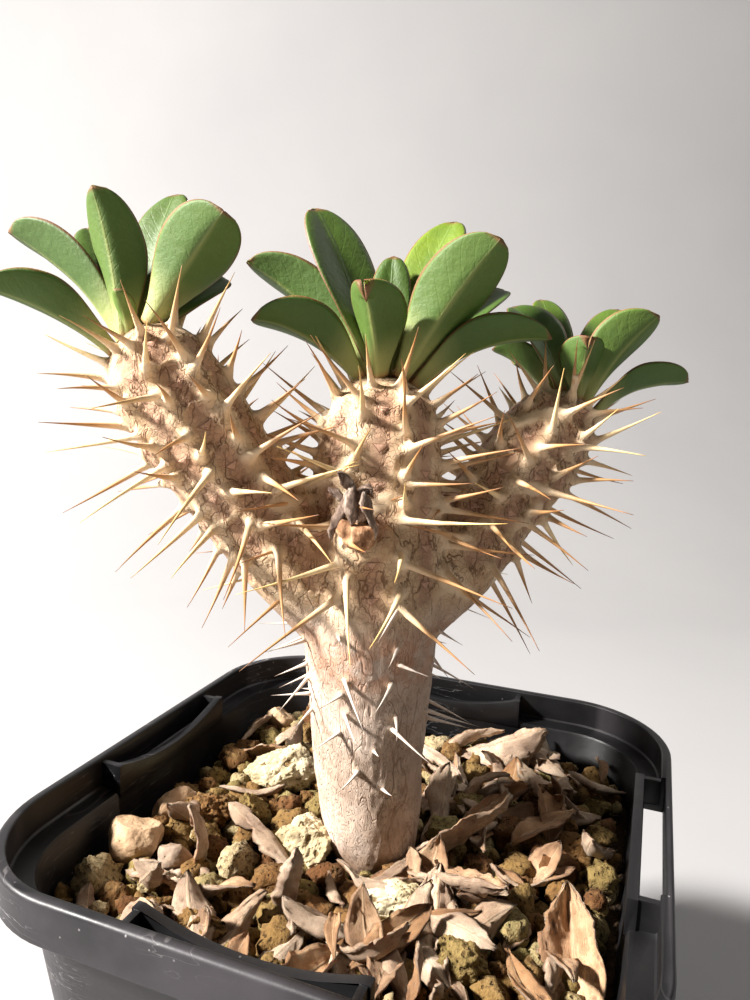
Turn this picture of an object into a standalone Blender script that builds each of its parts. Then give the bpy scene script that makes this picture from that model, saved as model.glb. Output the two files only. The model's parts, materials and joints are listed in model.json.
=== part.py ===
"""A spiny three-headed euphorbia growing in a square nursery pot.

Blender's metres, +Z up. The origin is the centre of the pot's underside, the pot's sides face the
X and Y axes, and the label slot is on the +X side. Sizes below are in millimetres, and each mesh is
scaled to metres as it is finished. The stem is one grown piece. The leaves, the dried flower stub,
the soil bed, the loose stones and the fallen dry leaves each lie where they rest, with a small gap.
"""

import math
import random

import bmesh
import bpy
from mathutils import Matrix, Vector

MM = 0.001
GAP = 0.35

# Pot: a moulded square pot whose wall steps outwards into a collar near the top
RIM_HALF = 45.0
RIM_HEIGHT = 80.0
RIM_CORNER = 18.5
RIM_WALL = 1.7
RIM_EDGE = 0.6
COLLAR_BOTTOM = 73.8
LEDGE_HEIGHT = 75.0
BODY_TOP_HALF = 40.9
BASE_HALF = 32.0
BASE_CORNER = 11.0
WALL = 1.2
FLOOR = 1.6
CORNER_STEPS = 6

# Raised inner walls at the middle of each side
INNER_WALL_FACE = 39.3
INNER_WALL = 1.4
POCKET_HALF = 15.4
POCKET_SHIFT = -0.8
POCKET_TOP = 79.4
POCKET_DIP = 2.5
RAIL_TOP = 79.2
RAIL_START = -14.5
RAIL_END = 19.5
SLOT_FACE = 41.0
SLOT_WIDTH = 3.0
RIB = 1.0
DRAIN_RADIUS = 3.2
DRAIN_OFFSET = 17.0

# Soil bed, with a socket for the buried foot of the stem
SOIL_TOP = 67.0
SOIL_MOUND = 0.5
SOCKET_BOTTOM = 50.0

# Stem: each limb is a list of (x, y, z, radius) stations along its middle
TRUNK = [
    (1.0, -2.1, 52.0, 3.6),
    (1.0, -2.1, 60.0, 4.4),
    (0.9, -2.1, 67.0, 5.4),
    (0.4, -2.3, 72.0, 6.6),
    (-0.4, -2.5, 78.0, 8.0),
    (-0.8, -2.5, 88.0, 9.0),
    (-1.0, -2.5, 98.0, 9.7),
    (-1.2, -2.4, 107.0, 10.8),
    (-1.3, -2.0, 116.0, 11.0),
    (-1.3, -1.4, 125.0, 10.2),
    (-1.2, -0.8, 133.0, 9.4),
    (-1.1, -0.3, 139.0, 8.0),
    (-1.0, 0.0, 142.0, 5.5),
    (-0.9, 0.1, 143.5, 2.6),
]
LEFT_LIMB = [
    (-3.0, -3.5, 105.0, 7.0),
    (-10.5, -7.5, 115.5, 8.0),
    (-18.5, -11.8, 126.0, 7.8),
    (-25.0, -15.0, 136.5, 8.2),
    (-29.6, -17.0, 144.0, 7.2),
    (-31.5, -17.6, 147.2, 5.0),
    (-32.3, -17.8, 148.6, 2.4),
]
RIGHT_LIMB = [
    (2.0, 0.5, 106.0, 6.5),
    (8.8, 5.4, 115.5, 7.6),
    (15.2, 11.4, 125.5, 7.4),
    (20.0, 16.0, 133.5, 7.6),
    (22.8, 18.8, 138.2, 6.2),
    (23.9, 19.8, 140.4, 4.2),
    (24.4, 20.2, 141.4, 2.2),
]
PEG = [
    (0.2, -6.0, 118.0, 5.0),
    (0.9, -11.0, 119.8, 4.6),
    (1.4, -13.6, 121.0, 3.8),
]
TRUNK_SIDES = 16
LIMB_SIDES = 12

# Spines: columns run up each head, turned about its middle
FACING = -69.5
SPINE_SIDES = 5
SPINE_FOOT = 1.4
HEADS = {
    # name: (limb, from height, to height, columns, spacing, length)
    "centre": (TRUNK, 104.0, 139.0, 8, 7.0, 13.0),
    "left": (LEFT_LIMB, 120.0, 144.0, 7, 6.0, 12.0),
    "right": (RIGHT_LIMB, 121.0, 138.0, 7, 6.0, 11.5),
}
TRUNK_SPINES = [
    # height, turn from the facing side, length
    (98.0, -75.0, 11.0),
    (96.0, 62.0, 12.0),
    (101.0, 95.0, 13.0),
    (90.0, 30.0, 4.0),
    (99.0, 170.0, 11.0),
    (93.0, -120.0, 10.0),
]

# Rosettes: each leaf is (turn, rise, reach, width, fold, roll), with its angles in degrees
ROSETTES = {
    "left": [
        (-138, 15, 20.0, 8.5, 0.25, 40),
        (-178, 33, 27.0, 9.5, 0.25, -45),
        (152, 43, 24.0, 8.0, 0.3, -30),
        (-142, 74, 20.0, 8.0, 0.6, 0),
        (99, 60, 25.0, 9.0, 0.25, 0),
        (-8, 46, 22.0, 10.0, 0.2, -45),
        (40, 54, 17.5, 6.5, 0.3, 30),
        (66, 33, 17.5, 7.0, 0.3, 30),
        (-72, 52, 8.0, 3.4, 0.3, 0),
        (122, 26, 17.0, 7.0, 0.25, 0),
    ],
    "centre": [
        (-151, 38, 27.5, 9.5, 0.3, 40),
        (-178, 22, 22.5, 8.5, 0.2, -40),
        (167, 62, 30.0, 9.5, 0.25, -20),
        (-108, 66, 16.0, 7.0, 0.6, 0),
        (106, 71, 18.0, 6.5, 0.3, 0),
        (72, 58, 31.0, 9.0, 0.25, 10),
        (-5, 52, 25.5, 10.5, 0.2, -45),
        (50, 34, 26.0, 9.0, 0.25, 35),
        (16, 16, 26.0, 9.0, 0.2, 45),
        (138, 40, 19.0, 8.0, 0.3, -20),
        (92, 26, 20.0, 8.0, 0.25, 0),
    ],
    "right": [
        (176, 30, 16.0, 6.5, 0.25, -40),
        (158, 56, 18.5, 7.5, 0.25, -30),
        (120, 58, 20.5, 7.5, 0.25, -10),
        (-60, 62, 9.5, 5.0, 0.6, 0),
        (66, 52, 20.0, 7.5, 0.3, 10),
        (2, 50, 18.0, 9.0, 0.2, -45),
        (34, 8, 21.5, 9.0, 0.2, 45),
        (95, 20, 17.0, 7.0, 0.25, 0),
        (140, 22, 16.0, 7.0, 0.25, 0),
    ],
}
LEAF_THICKNESS = 0.9
LEAF_STATIONS = (0.0, 0.16, 0.34, 0.52, 0.7, 0.86, 0.96, 1.0)
LEAF_BOW = 0.06
CROWN_GAP = 0.9
CROWN_RING = 2.7
LOW_LEAF_RISE = 45.0
LOW_LEAF_OUT = 2.8
LOW_LEAF_DROP = 1.7

# Loose stones: name, (x, y), (length, width, height), turn
STONES = [
    ("pumice_large", (-22.4, 9.5), (12.0, 10.5, 8.0), 20),
    ("pumice_front", (-8.5, -10.0), (9.0, 7.5, 6.5), 60),
    ("stone_tan_left", (-33.0, -19.0), (8.5, 8.0, 7.0), 0),
    ("stone_long_left", (-33.5, -9.0), (9.0, 5.5, 5.0), 40),
    ("stone_grey_left", (-25.5, -18.5), (5.5, 5.0, 4.5), 0),
    ("gravel_brown_left", (-26.5, -9.5), (7.0, 6.0, 6.0), 10),
    ("gravel_olive_left", (-21.0, -3.5), (6.0, 5.5, 5.0), 0),
    ("stone_tan_back", (-32.5, 29.0), (6.5, 5.5, 5.5), 0),
    ("gravel_brown_front", (-13.5, -31.5), (7.5, 6.5, 5.0), 30),
    ("pumice_centre", (9.5, -15.0), (9.0, 6.5, 5.0), 10),
    ("gravel_olive_right", (20.5, -24.0), (7.0, 6.5, 5.5), 0),
    ("gravel_brown_right", (25.5, 18.5), (8.0, 6.5, 5.5), 70),
]
STONE_ROUGHNESS = 0.07

# Fallen leaves: name, (x, y, z) of the foot, turn, rise, length, width, fold, bow
LITTER = [
    ("dry_leaf_curled", (-22.5, -33.5, 69.5), 175, 0, 14.0, 6.0, 0.5, 0.25),
    ("dry_leaf_fan", (-13.0, -25.5, 69.0), 160, 5, 12.0, 5.5, -0.4, 0.15),
    ("dry_leaf_twisted", (-9.0, -34.0, 69.0), 70, 25, 13.0, 5.0, 0.5, 0.1),
    ("dry_leaf_arched", (-20.5, -16.5, 69.5), 0, 6, 13.0, 5.0, -0.5, 0.18),
    ("dry_leaf_boat", (14.5, -17.5, 69.5), 75, 12, 14.0, 6.5, 0.6, 0.05),
    ("dry_leaf_centre", (-4.5, -23.0, 69.0), 35, 6, 11.0, 5.0, 0.4, 0.15),
    ("dry_leaf_front", (4.5, -33.0, 69.0), 60, 8, 14.0, 6.5, 0.5, 0.12),
    ("dry_leaf_stick", (2.5, 26.0, 69.5), -42, 4, 30.0, 3.5, 0.3, 0.04),
    ("dry_leaf_broad", (18.0, -10.0, 69.5), 72, 6, 17.5, 7.5, -0.35, 0.1),
    ("dry_leaf_long", (18.0, -13.5, 69.0), -40, 2, 22.0, 7.0, 0.3, 0.12),
    ("dry_leaf_side", (33.5, -16.0, 69.5), 88, 8, 17.0, 7.5, -0.4, 0.12),
    ("dry_leaf_corner", (13.5, 31.0, 69.5), 12, 8, 19.0, 8.0, 0.45, 0.15),
    ("dry_leaf_root_curl", (-6.0, 34.0, 69.5), -8, 12, 13.0, 6.0, 0.5, 0.2),
]
LITTER_THICKNESS = 0.7


def collection(name):
    """A new collection in the scene."""
    made = bpy.data.collections.new(name)
    bpy.context.scene.collection.children.link(made)
    return made


def material(name, colour, roughness):
    """A plain Principled material."""
    made = bpy.data.materials.new(name)
    made.use_nodes = True
    shader = made.node_tree.nodes["Principled BSDF"]
    shader.inputs["Base Color"].default_value = (*colour, 1.0)
    shader.inputs["Roughness"].default_value = roughness
    shader.inputs["Metallic"].default_value = 0.0
    return made


def add_object(shape, name, home, finish=None, sharp_angle=40.0):
    """Turns a bmesh in millimetres into an object in metres."""
    bmesh.ops.scale(shape, vec=(MM, MM, MM), verts=shape.verts)
    mesh = bpy.data.meshes.new(name)
    shape.to_mesh(mesh)
    shape.free()
    made = bpy.data.objects.new(name, mesh)
    home.objects.link(made)
    if finish:
        mesh.materials.append(finish)
        mesh.shade_smooth()
        mesh.set_sharp_from_angle(angle=math.radians(sharp_angle))
    return made


def add_tool(shape, name, home):
    """A hidden shape that a Boolean uses."""
    made = add_object(shape, name, home)
    made.hide_render = True
    made.display_type = "WIRE"
    return made


def combine(target, tools, operation):
    """Joins or cuts a target with every shape of a collection."""
    step = target.modifiers.new(operation.title(), "BOOLEAN")
    step.operation = operation
    step.operand_type = "COLLECTION"
    step.collection = tools
    step.solver = "EXACT"


def loft(rings):
    """A closed solid through rings that have the same number of points."""
    shape = bmesh.new()
    rows = [[shape.verts.new(point) for point in ring] for ring in rings]
    for lower, upper in zip(rows, rows[1:]):
        for i in range(len(lower)):
            j = (i + 1) % len(lower)
            shape.faces.new((lower[i], lower[j], upper[j], upper[i]))
    shape.faces.new(rows[0])
    shape.faces.new(rows[-1])
    bmesh.ops.recalc_face_normals(shape, faces=shape.faces)
    return shape


def prism(outline, direction):
    """A flat outline drawn out along a direction."""
    shape = bmesh.new()
    face = shape.faces.new([shape.verts.new(point) for point in outline])
    drawn = bmesh.ops.extrude_face_region(shape, geom=[face])
    moved = [item for item in drawn["geom"] if isinstance(item, bmesh.types.BMVert)]
    bmesh.ops.translate(shape, vec=direction, verts=moved)
    bmesh.ops.recalc_face_normals(shape, faces=shape.faces)
    return shape


def block(low, high):
    """A box between two corners."""
    low, high = Vector(low), Vector(high)
    shape = bmesh.new()
    place = Matrix.Translation((low + high) / 2) @ Matrix.Diagonal((*(high - low), 1.0))
    bmesh.ops.create_cube(shape, size=1.0, matrix=place)
    return shape


def turn(shape, degrees):
    """Turns a shape about the pot's middle."""
    bmesh.ops.rotate(shape, cent=(0, 0, 0), matrix=Matrix.Rotation(math.radians(degrees), 3, "Z"), verts=shape.verts)
    return shape


# Pot


def rounded_square(half, corner, height):
    """A level ring in the shape of a square with round corners."""
    ring = []
    for quarter in range(4):
        side_x = 1 if quarter in (0, 3) else -1
        side_y = 1 if quarter in (0, 1) else -1
        for step in range(CORNER_STEPS + 1):
            angle = math.radians(90.0 * (quarter + step / CORNER_STEPS))
            x = side_x * (half - corner) + corner * math.cos(angle)
            y = side_y * (half - corner) + corner * math.sin(angle)
            ring.append((x, y, height))
    return ring


def inner_half(height):
    """Half the pot's inside width at a height under the ledge."""
    rise = (height - FLOOR) / (COLLAR_BOTTOM - FLOOR)
    return (BASE_HALF - WALL) + rise * (BODY_TOP_HALF - BASE_HALF)


def inner_corner(height):
    """The pot's inside corner radius at a height under the ledge."""
    rise = (height - FLOOR) / (COLLAR_BOTTOM - FLOOR)
    top_corner = RIM_CORNER - (RIM_HALF - BODY_TOP_HALF)
    return (BASE_CORNER - WALL) + rise * (top_corner - BASE_CORNER)


def pot_rings():
    """The pot's wall from its underside, up the outside and down the inside to its floor."""
    profile = [
        (BASE_HALF - RIM_EDGE, 0.0),
        (BASE_HALF, RIM_EDGE),
        (BODY_TOP_HALF, COLLAR_BOTTOM),
        (RIM_HALF - RIM_EDGE / 2, COLLAR_BOTTOM),
        (RIM_HALF, COLLAR_BOTTOM + RIM_EDGE / 2),
        (RIM_HALF, RIM_HEIGHT - RIM_EDGE),
        (RIM_HALF - RIM_EDGE, RIM_HEIGHT),
        (RIM_HALF - RIM_WALL + RIM_EDGE / 2, RIM_HEIGHT),
        (RIM_HALF - RIM_WALL, RIM_HEIGHT - RIM_EDGE / 2),
        (RIM_HALF - RIM_WALL, LEDGE_HEIGHT),
        (BODY_TOP_HALF - WALL, LEDGE_HEIGHT - RIM_EDGE / 2),
    ]
    rings = []
    for half, height in profile:
        if height < COLLAR_BOTTOM / 2:
            corner = BASE_CORNER - (BASE_HALF - half)
        else:
            corner = RIM_CORNER - (RIM_HALF - half)
        rings.append(rounded_square(half, corner, height))
    rings.append(rounded_square(inner_half(FLOOR), inner_corner(FLOOR), FLOOR))
    return rings


def dipped_wall():
    """A raised inner wall whose top edge sags in the middle, with its two end ribs, on the +X side."""
    start = POCKET_SHIFT - POCKET_HALF
    end = POCKET_SHIFT + POCKET_HALF
    span = POCKET_HALF - RIB
    foot = COLLAR_BOTTOM + 0.2
    outline = [(start, foot), (end, foot), (end, POCKET_TOP)]
    for step in range(9):
        across = 1 - step / 4
        outline.append((POCKET_SHIFT + span * across, POCKET_TOP - POCKET_DIP * (1 - across**2)))
    outline.append((start, POCKET_TOP))
    wall = prism([(INNER_WALL_FACE, y, z) for y, z in outline], (INNER_WALL, 0, 0))
    return [wall, end_rib(start + 0.3 * RIB, POCKET_TOP - 0.1), end_rib(end - 1.3 * RIB, POCKET_TOP - 0.1)]


def end_rib(start, top):
    """A short rib from an inner wall out into the collar, on the +X side."""
    low = (INNER_WALL_FACE + INNER_WALL / 2, start, COLLAR_BOTTOM + 0.4)
    high = (RIM_HALF - RIM_WALL / 2, start + RIB, top)
    return block(low, high)


def label_rail():
    """The straight inner wall of the label slot with its end ribs."""
    low = (INNER_WALL_FACE, RAIL_START, COLLAR_BOTTOM + 0.2)
    high = (INNER_WALL_FACE + INNER_WALL, RAIL_END, RAIL_TOP)
    return [
        block(low, high),
        end_rib(RAIL_START + 0.3 * RIB, RAIL_TOP - 0.1),
        end_rib(RAIL_END - 1.3 * RIB, RAIL_TOP - 0.1),
    ]


def build_pot(home, finish):
    """The pot with its four raised inner walls, its label slot and its drain holes."""
    pot = add_object(loft(pot_rings()), "pot", home, finish)
    walls = collection("pot_walls")
    for side, degrees in enumerate((90, 180, 270)):
        for part, shape in enumerate(dipped_wall()):
            add_tool(turn(shape, degrees), f"pot_wall_{side}_{part}", walls)
    for part, shape in enumerate(label_rail()):
        add_tool(shape, f"pot_rail_{part}", walls)
    cuts = collection("pot_cuts")
    slot_low = (SLOT_FACE, RAIL_START + 1.4 * RIB, LEDGE_HEIGHT - 12)
    slot_high = (SLOT_FACE + SLOT_WIDTH, RAIL_END - 1.4 * RIB, RIM_HEIGHT + 8)
    add_tool(block(slot_low, slot_high), "pot_slot", cuts)
    for x in (-DRAIN_OFFSET, DRAIN_OFFSET):
        for y in (-DRAIN_OFFSET, DRAIN_OFFSET):
            hole = bmesh.new()
            place = Matrix.Translation((x, y, FLOOR / 2))
            bmesh.ops.create_cone(
                hole, cap_ends=True, segments=12, radius1=DRAIN_RADIUS, radius2=DRAIN_RADIUS, depth=6, matrix=place
            )
            add_tool(hole, f"pot_drain_{len(cuts.objects)}", cuts)
    combine(pot, walls, "UNION")
    combine(pot, cuts, "DIFFERENCE")


# Soil


def build_soil(home, finish):
    """The soil that fills the pot, with a socket around the buried foot of the stem."""
    rings = []
    for height in (FLOOR + GAP, SOIL_TOP):
        rings.append(rounded_square(inner_half(height) - GAP, inner_corner(height) - GAP, height))
    edge = inner_half(SOIL_TOP)
    for share in (0.6, 0.3):
        rings.append(rounded_square(edge * share, 14.0 * share, SOIL_TOP + SOIL_MOUND))
    soil = add_object(loft(rings), "soil_bed", home, finish)
    socket = collection("soil_cuts")
    foot = [(x, y, z, radius + GAP) for x, y, z, radius in TRUNK if z < 77.0]
    foot[0] = (foot[0][0], foot[0][1], foot[0][2] - GAP, foot[0][3])
    add_tool(tube(foot, TRUNK_SIDES), "soil_socket", socket)
    combine(soil, socket, "DIFFERENCE")


# Stem


def frame_along(direction):
    """Two unit vectors across a direction, the first one level."""
    level = Vector((-direction.y, direction.x, 0.0))
    if level.length < 0.02:
        level = Vector((1.0, 0.0, 0.0))
    level.normalize()
    return level, direction.cross(level).normalized()


def tube(stations, sides):
    """A round limb through stations of (x, y, z, radius)."""
    middles = [Vector(station[:3]) for station in stations]
    rings = []
    for i, station in enumerate(stations):
        ahead = middles[min(i + 1, len(middles) - 1)]
        behind = middles[max(i - 1, 0)]
        across, over = frame_along((ahead - behind).normalized())
        ring = []
        for side in range(sides):
            angle = 2 * math.pi * side / sides
            ring.append(middles[i] + station[3] * (across * math.cos(angle) + over * math.sin(angle)))
        rings.append(ring)
    return loft(rings)


def station_at(stations, height):
    """The middle, the direction and the radius of a limb at a height."""
    for lower, upper in zip(stations, stations[1:]):
        if lower[2] <= height <= upper[2]:
            share = (height - lower[2]) / (upper[2] - lower[2])
            middle = Vector(lower[:3]).lerp(Vector(upper[:3]), share)
            direction = (Vector(upper[:3]) - Vector(lower[:3])).normalized()
            return middle, direction, lower[3] + share * (upper[3] - lower[3])
    raise ValueError("height is off the limb")


def spine(stations, height, azimuth, length, lift):
    """A straight spine that stands out of a limb, with its foot sunk into the limb."""
    middle, direction, radius = station_at(stations, height)
    angle = math.radians(azimuth)
    out = Vector((math.cos(angle), math.sin(angle), 0.0))
    out = (out - direction * out.dot(direction)).normalized()
    point = (out + direction * lift).normalized()
    sunk = 1.2
    start = middle + out * (radius - sunk)
    shape = bmesh.new()
    place = Matrix.Translation(start + point * (length + sunk) / 2) @ point.to_track_quat("Z", "X").to_matrix().to_4x4()
    bmesh.ops.create_cone(
        shape, cap_ends=True, segments=SPINE_SIDES, radius1=SPINE_FOOT, radius2=0.0, depth=length + sunk, matrix=place
    )
    return shape


def build_stem(home, finish):
    """Trunk, three heads, flower peg and spines as one grown piece."""
    stem = add_object(tube(TRUNK, TRUNK_SIDES), "stem", home, finish, 60.0)
    limbs = collection("stem_limbs")
    add_tool(tube(LEFT_LIMB, LIMB_SIDES), "limb_left", limbs)
    add_tool(tube(RIGHT_LIMB, LIMB_SIDES), "limb_right", limbs)
    add_tool(tube(PEG, LIMB_SIDES - 4), "limb_peg", limbs)
    spines = collection("stem_spines")
    for head, (stations, low, high, columns, spacing, length) in HEADS.items():
        for column in range(columns):
            azimuth = FACING + 360.0 * (column + 0.5) / columns
            height = low + spacing * 0.5 * (column % 2)
            while height <= high:
                rise = (height - low) / (high - low)
                shape = spine(stations, height, azimuth, length * (0.8 + 0.2 * rise), 0.5 * rise - 0.15)
                add_tool(shape, f"spine_{head}_{len(spines.objects)}", spines)
                height += spacing
    for height, around, length in TRUNK_SPINES:
        add_tool(spine(TRUNK, height, FACING + around, length, 0.0), f"spine_trunk_{len(spines.objects)}", spines)
    combine(stem, limbs, "UNION")
    combine(stem, spines, "UNION")


def build_stub(home, finish):
    """The dried remains of a flower stalk on the peg."""
    shape = bmesh.new()
    bmesh.ops.create_icosphere(shape, subdivisions=2, radius=1.0)
    rng = random.Random(5)
    for vert in shape.verts:
        vert.co *= rng.uniform(0.82, 1.12)
    lean = Matrix.Rotation(math.radians(20), 4, "X")
    place = Matrix.Translation((1.3, -17.0, 127.0)) @ lean @ Matrix.Diagonal((2.9, 2.1, 4.0, 1.0))
    bmesh.ops.transform(shape, matrix=place, verts=shape.verts)
    add_object(shape, "dried_flower_stub", home, finish, 60.0)


# Leaves


def leaf_width(share):
    """A leaf's width along its length, as a share of its widest part: narrow foot, round broad tip."""
    foot = 0.17 * (1 - share)
    blade = math.sin(math.pi * share**1.6) ** 0.8 if 0 < share < 1 else 0.0
    return max(foot + blade, 0.04)


def heading(azimuth, rise):
    """The unit vector at a turn from +X and a rise from level, in degrees."""
    around, up = math.radians(azimuth), math.radians(rise)
    return Vector((math.cos(up) * math.cos(around), math.cos(up) * math.sin(around), math.sin(up)))


def blade(foot, tip, width, fold, roll, bow, thickness):
    """A thin folded leaf solid from its foot to its tip."""
    length = (tip - foot).length
    along = (tip - foot) / length
    across = Vector((-along.y, along.x, 0.0)).normalized()
    axes = Matrix((along, across, along.cross(across))).transposed().to_4x4()
    place = Matrix.Translation(foot) @ axes @ Matrix.Rotation(math.radians(roll), 4, "X")
    rings = []
    for share in LEAF_STATIONS:
        half = width * leaf_width(share) / 2
        middle = bow * length * 4 * share * (1 - share)
        depth = thickness / 2 * (0.35 if share == 1.0 else 1.0)
        section = [
            (share * length, -half, middle + fold * half),
            (share * length, 0.0, middle - depth),
            (share * length, half, middle + fold * half),
            (share * length, 0.0, middle + depth),
        ]
        rings.append([place @ Vector(point) for point in section])
    return loft(rings)


def leaf_foot(limb, azimuth, rise):
    """Where a leaf starts: close round the tip of a head, or lower on its shoulder for a low leaf."""
    apex = Vector(limb[-1][:3])
    axis = (apex - Vector(limb[-2][:3])).normalized()
    out = heading(azimuth, 0.0)
    out = (out - axis * out.dot(axis)).normalized()
    low = min(max((LOW_LEAF_RISE - rise) / LOW_LEAF_RISE, 0.0), 1.0)
    return apex + out * (CROWN_RING + LOW_LEAF_OUT * low) + axis * (CROWN_GAP - LOW_LEAF_DROP * low)


def build_rosettes(home, finish):
    """The living leaves, each one a node of its own."""
    for head, leaves in ROSETTES.items():
        limb = HEADS[head][0]
        for number, (azimuth, rise, reach, width, fold, roll) in enumerate(leaves, start=1):
            tip = Vector(limb[-1][:3]) + reach * heading(azimuth, rise)
            shape = blade(leaf_foot(limb, azimuth, rise), tip, width, fold, roll, LEAF_BOW, LEAF_THICKNESS)
            add_object(shape, f"leaf_{head}_{number:02d}", home, finish, 60.0)


# Loose pieces on the soil


def build_stones(home, finishes):
    """Pumice, pebbles and gravel that lie on the soil."""
    for number, (name, (x, y), (length, width, height), degrees) in enumerate(STONES):
        shape = bmesh.new()
        bmesh.ops.create_icosphere(shape, subdivisions=2, radius=1.0)
        rng = random.Random(number)
        for vert in shape.verts:
            vert.co *= 1.0 + STONE_ROUGHNESS * rng.uniform(-1.0, 1.0)
        size = Matrix.Diagonal((length / 2, width / 2, height / 2, 1.0))
        spin = Matrix.Rotation(math.radians(degrees), 4, "Z")
        bmesh.ops.transform(shape, matrix=spin @ size, verts=shape.verts)
        lowest = min(vert.co.z for vert in shape.verts)
        bmesh.ops.translate(shape, vec=(x, y, SOIL_TOP + SOIL_MOUND + GAP - lowest), verts=shape.verts)
        add_object(shape, name, home, finishes[name.split("_")[0]], 50.0)


def build_litter(home, finish):
    """Fallen leaves that have dried and curled."""
    for name, foot, azimuth, rise, length, width, fold, bow in LITTER:
        tip = Vector(foot) + length * heading(azimuth, rise)
        shape = blade(Vector(foot), tip, width, fold, 0.0, bow, LITTER_THICKNESS)
        add_object(shape, name, home, finish, 60.0)


def main():
    for old in list(bpy.data.objects):
        bpy.data.objects.remove(old, do_unlink=True)
    plant = collection("potted_euphorbia")
    build_pot(plant, material("black_plastic", (0.018, 0.018, 0.02), 0.35))
    build_soil(plant, material("soil", (0.2, 0.13, 0.07), 0.95))
    build_stem(plant, material("bark", (0.62, 0.45, 0.29), 0.75))
    build_stub(plant, material("dried_flower", (0.16, 0.11, 0.08), 0.9))
    build_rosettes(plant, material("leaf_green", (0.07, 0.2, 0.045), 0.4))
    finishes = {
        "pumice": material("pumice", (0.72, 0.6, 0.34), 0.95),
        "stone": material("pebble", (0.5, 0.36, 0.22), 0.8),
        "gravel": material("clay_gravel", (0.36, 0.2, 0.07), 0.95),
    }
    build_stones(plant, finishes)
    build_litter(plant, material("dry_leaf", (0.45, 0.31, 0.2), 0.85))


main()
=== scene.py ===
"""Potted three-headed euphorbia: the looks of the plant, its pot, its gravel and its fallen leaves.

The frame is in metres. The tables below are in millimetres and are scaled as each mesh is made.
"""

import json
import math
import random

import bmesh
import bpy
import numpy as np
from mathutils import Matrix, Vector, noise

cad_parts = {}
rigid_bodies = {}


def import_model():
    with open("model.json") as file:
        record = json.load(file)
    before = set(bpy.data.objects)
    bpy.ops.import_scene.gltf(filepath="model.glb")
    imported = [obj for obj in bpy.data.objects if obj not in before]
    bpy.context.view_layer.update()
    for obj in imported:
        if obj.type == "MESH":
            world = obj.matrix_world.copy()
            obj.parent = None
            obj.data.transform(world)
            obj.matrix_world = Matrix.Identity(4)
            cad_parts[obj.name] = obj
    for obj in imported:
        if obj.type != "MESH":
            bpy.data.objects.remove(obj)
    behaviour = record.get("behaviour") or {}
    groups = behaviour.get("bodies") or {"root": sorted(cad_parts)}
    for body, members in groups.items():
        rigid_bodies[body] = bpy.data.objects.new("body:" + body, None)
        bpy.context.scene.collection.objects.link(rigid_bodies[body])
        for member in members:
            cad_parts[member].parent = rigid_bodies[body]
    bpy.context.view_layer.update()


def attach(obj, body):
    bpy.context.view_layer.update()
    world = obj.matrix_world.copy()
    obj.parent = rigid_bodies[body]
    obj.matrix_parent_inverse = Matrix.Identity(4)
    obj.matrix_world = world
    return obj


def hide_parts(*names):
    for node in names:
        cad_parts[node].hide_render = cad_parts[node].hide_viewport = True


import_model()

MM = 0.001

# Camera
CAMERA_PLACE = Vector((38.1, -107.3, 142.4)) * MM
CAMERA_YAW = 20.5
CAMERA_PITCH = 8.75
CAMERA_ROLL = 1.95
CAMERA_LENS = 27.0

# Stage
SWEEP_START = 350.0
SWEEP_RADIUS = 450.0
SWEEP_STEPS = 16
FLOOR_FRONT = -1500.0
FLOOR_SIDE = 2600.0
BACKDROP_TOP = 1800.0
SKY_COLOUR = (0.86, 0.84, 0.82, 1.0)
SKY_STRENGTH = 0.085
LIGHT_AIM = Vector((0, 0, 100))
LAMPS = [
    # name, place, size, power, colour
    ("key", (-755.0, -520.0, 730.0), 120.0, 57.0, (1.0, 0.965, 0.925)),
    ("fill", (620.0, -420.0, 300.0), 600.0, 0.3, (1.0, 0.93, 0.86)),
    ("back", (330.0, 330.0, 620.0), 400.0, 1.2, (1.0, 0.97, 0.93)),
]

# Pot, as the frame has it
RIM_HALF = 45.0
RIM_HEIGHT = 80.0
RIM_CORNER = 18.5
RIM_WALL = 1.7
RIM_EDGE = 0.7
COLLAR_BOTTOM = 73.8
LEDGE_HEIGHT = 75.0
BODY_TOP_HALF = 40.9
BASE_HALF = 32.0
BASE_CORNER = 11.0
WALL = 1.2
FLOOR = 1.6
INNER_WALL_FACE = 39.3
INNER_WALL = 1.4
POCKET_HALF = 15.4
POCKET_SHIFT = -0.8
POCKET_TOP = 79.4
POCKET_DIP = 2.5
RAIL_TOP = 79.2
RAIL_START = -14.5
RAIL_END = 19.5
SLOT_FACE = 41.0
SLOT_WIDTH = 3.0
RIB = 1.0
DRAIN_RADIUS = 3.2
DRAIN_OFFSET = 17.0
CORNER_STEPS = 18
EDGE_ROUNDING = 0.22

# Soil
SOIL_TOP = 66.6
SOIL_GAP = 0.05
WALL_GAP = 0.3

# Limbs of the stem: (x, y, z, radius)
TRUNK = [
    (1.0, -2.1, 52.0, 3.4),
    (1.0, -2.1, 60.0, 3.9),
    (0.9, -2.1, 67.0, 6.0),
    (0.6, -2.3, 70.0, 7.0),
    (0.2, -2.4, 73.0, 7.6),
    (-0.3, -2.5, 78.0, 8.2),
    (-0.8, -2.5, 88.0, 8.9),
    (-1.0, -2.5, 98.0, 9.7),
    (-1.2, -2.4, 107.0, 10.8),
    (-1.3, -2.0, 116.0, 11.0),
    (-1.3, -1.4, 125.0, 10.2),
    (-1.2, -0.8, 133.0, 9.4),
    (-1.1, -0.3, 139.0, 8.0),
    (-1.0, 0.0, 142.0, 5.5),
    (-0.9, 0.1, 143.5, 2.6),
]
LEFT_LIMB = [
    (-3.0, -3.5, 105.0, 7.0),
    (-10.5, -7.5, 115.5, 8.0),
    (-18.5, -11.8, 126.0, 7.8),
    (-25.0, -15.0, 136.5, 8.2),
    (-29.6, -17.0, 144.0, 7.2),
    (-31.5, -17.6, 147.2, 5.0),
    (-32.3, -17.8, 148.6, 2.4),
]
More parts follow.
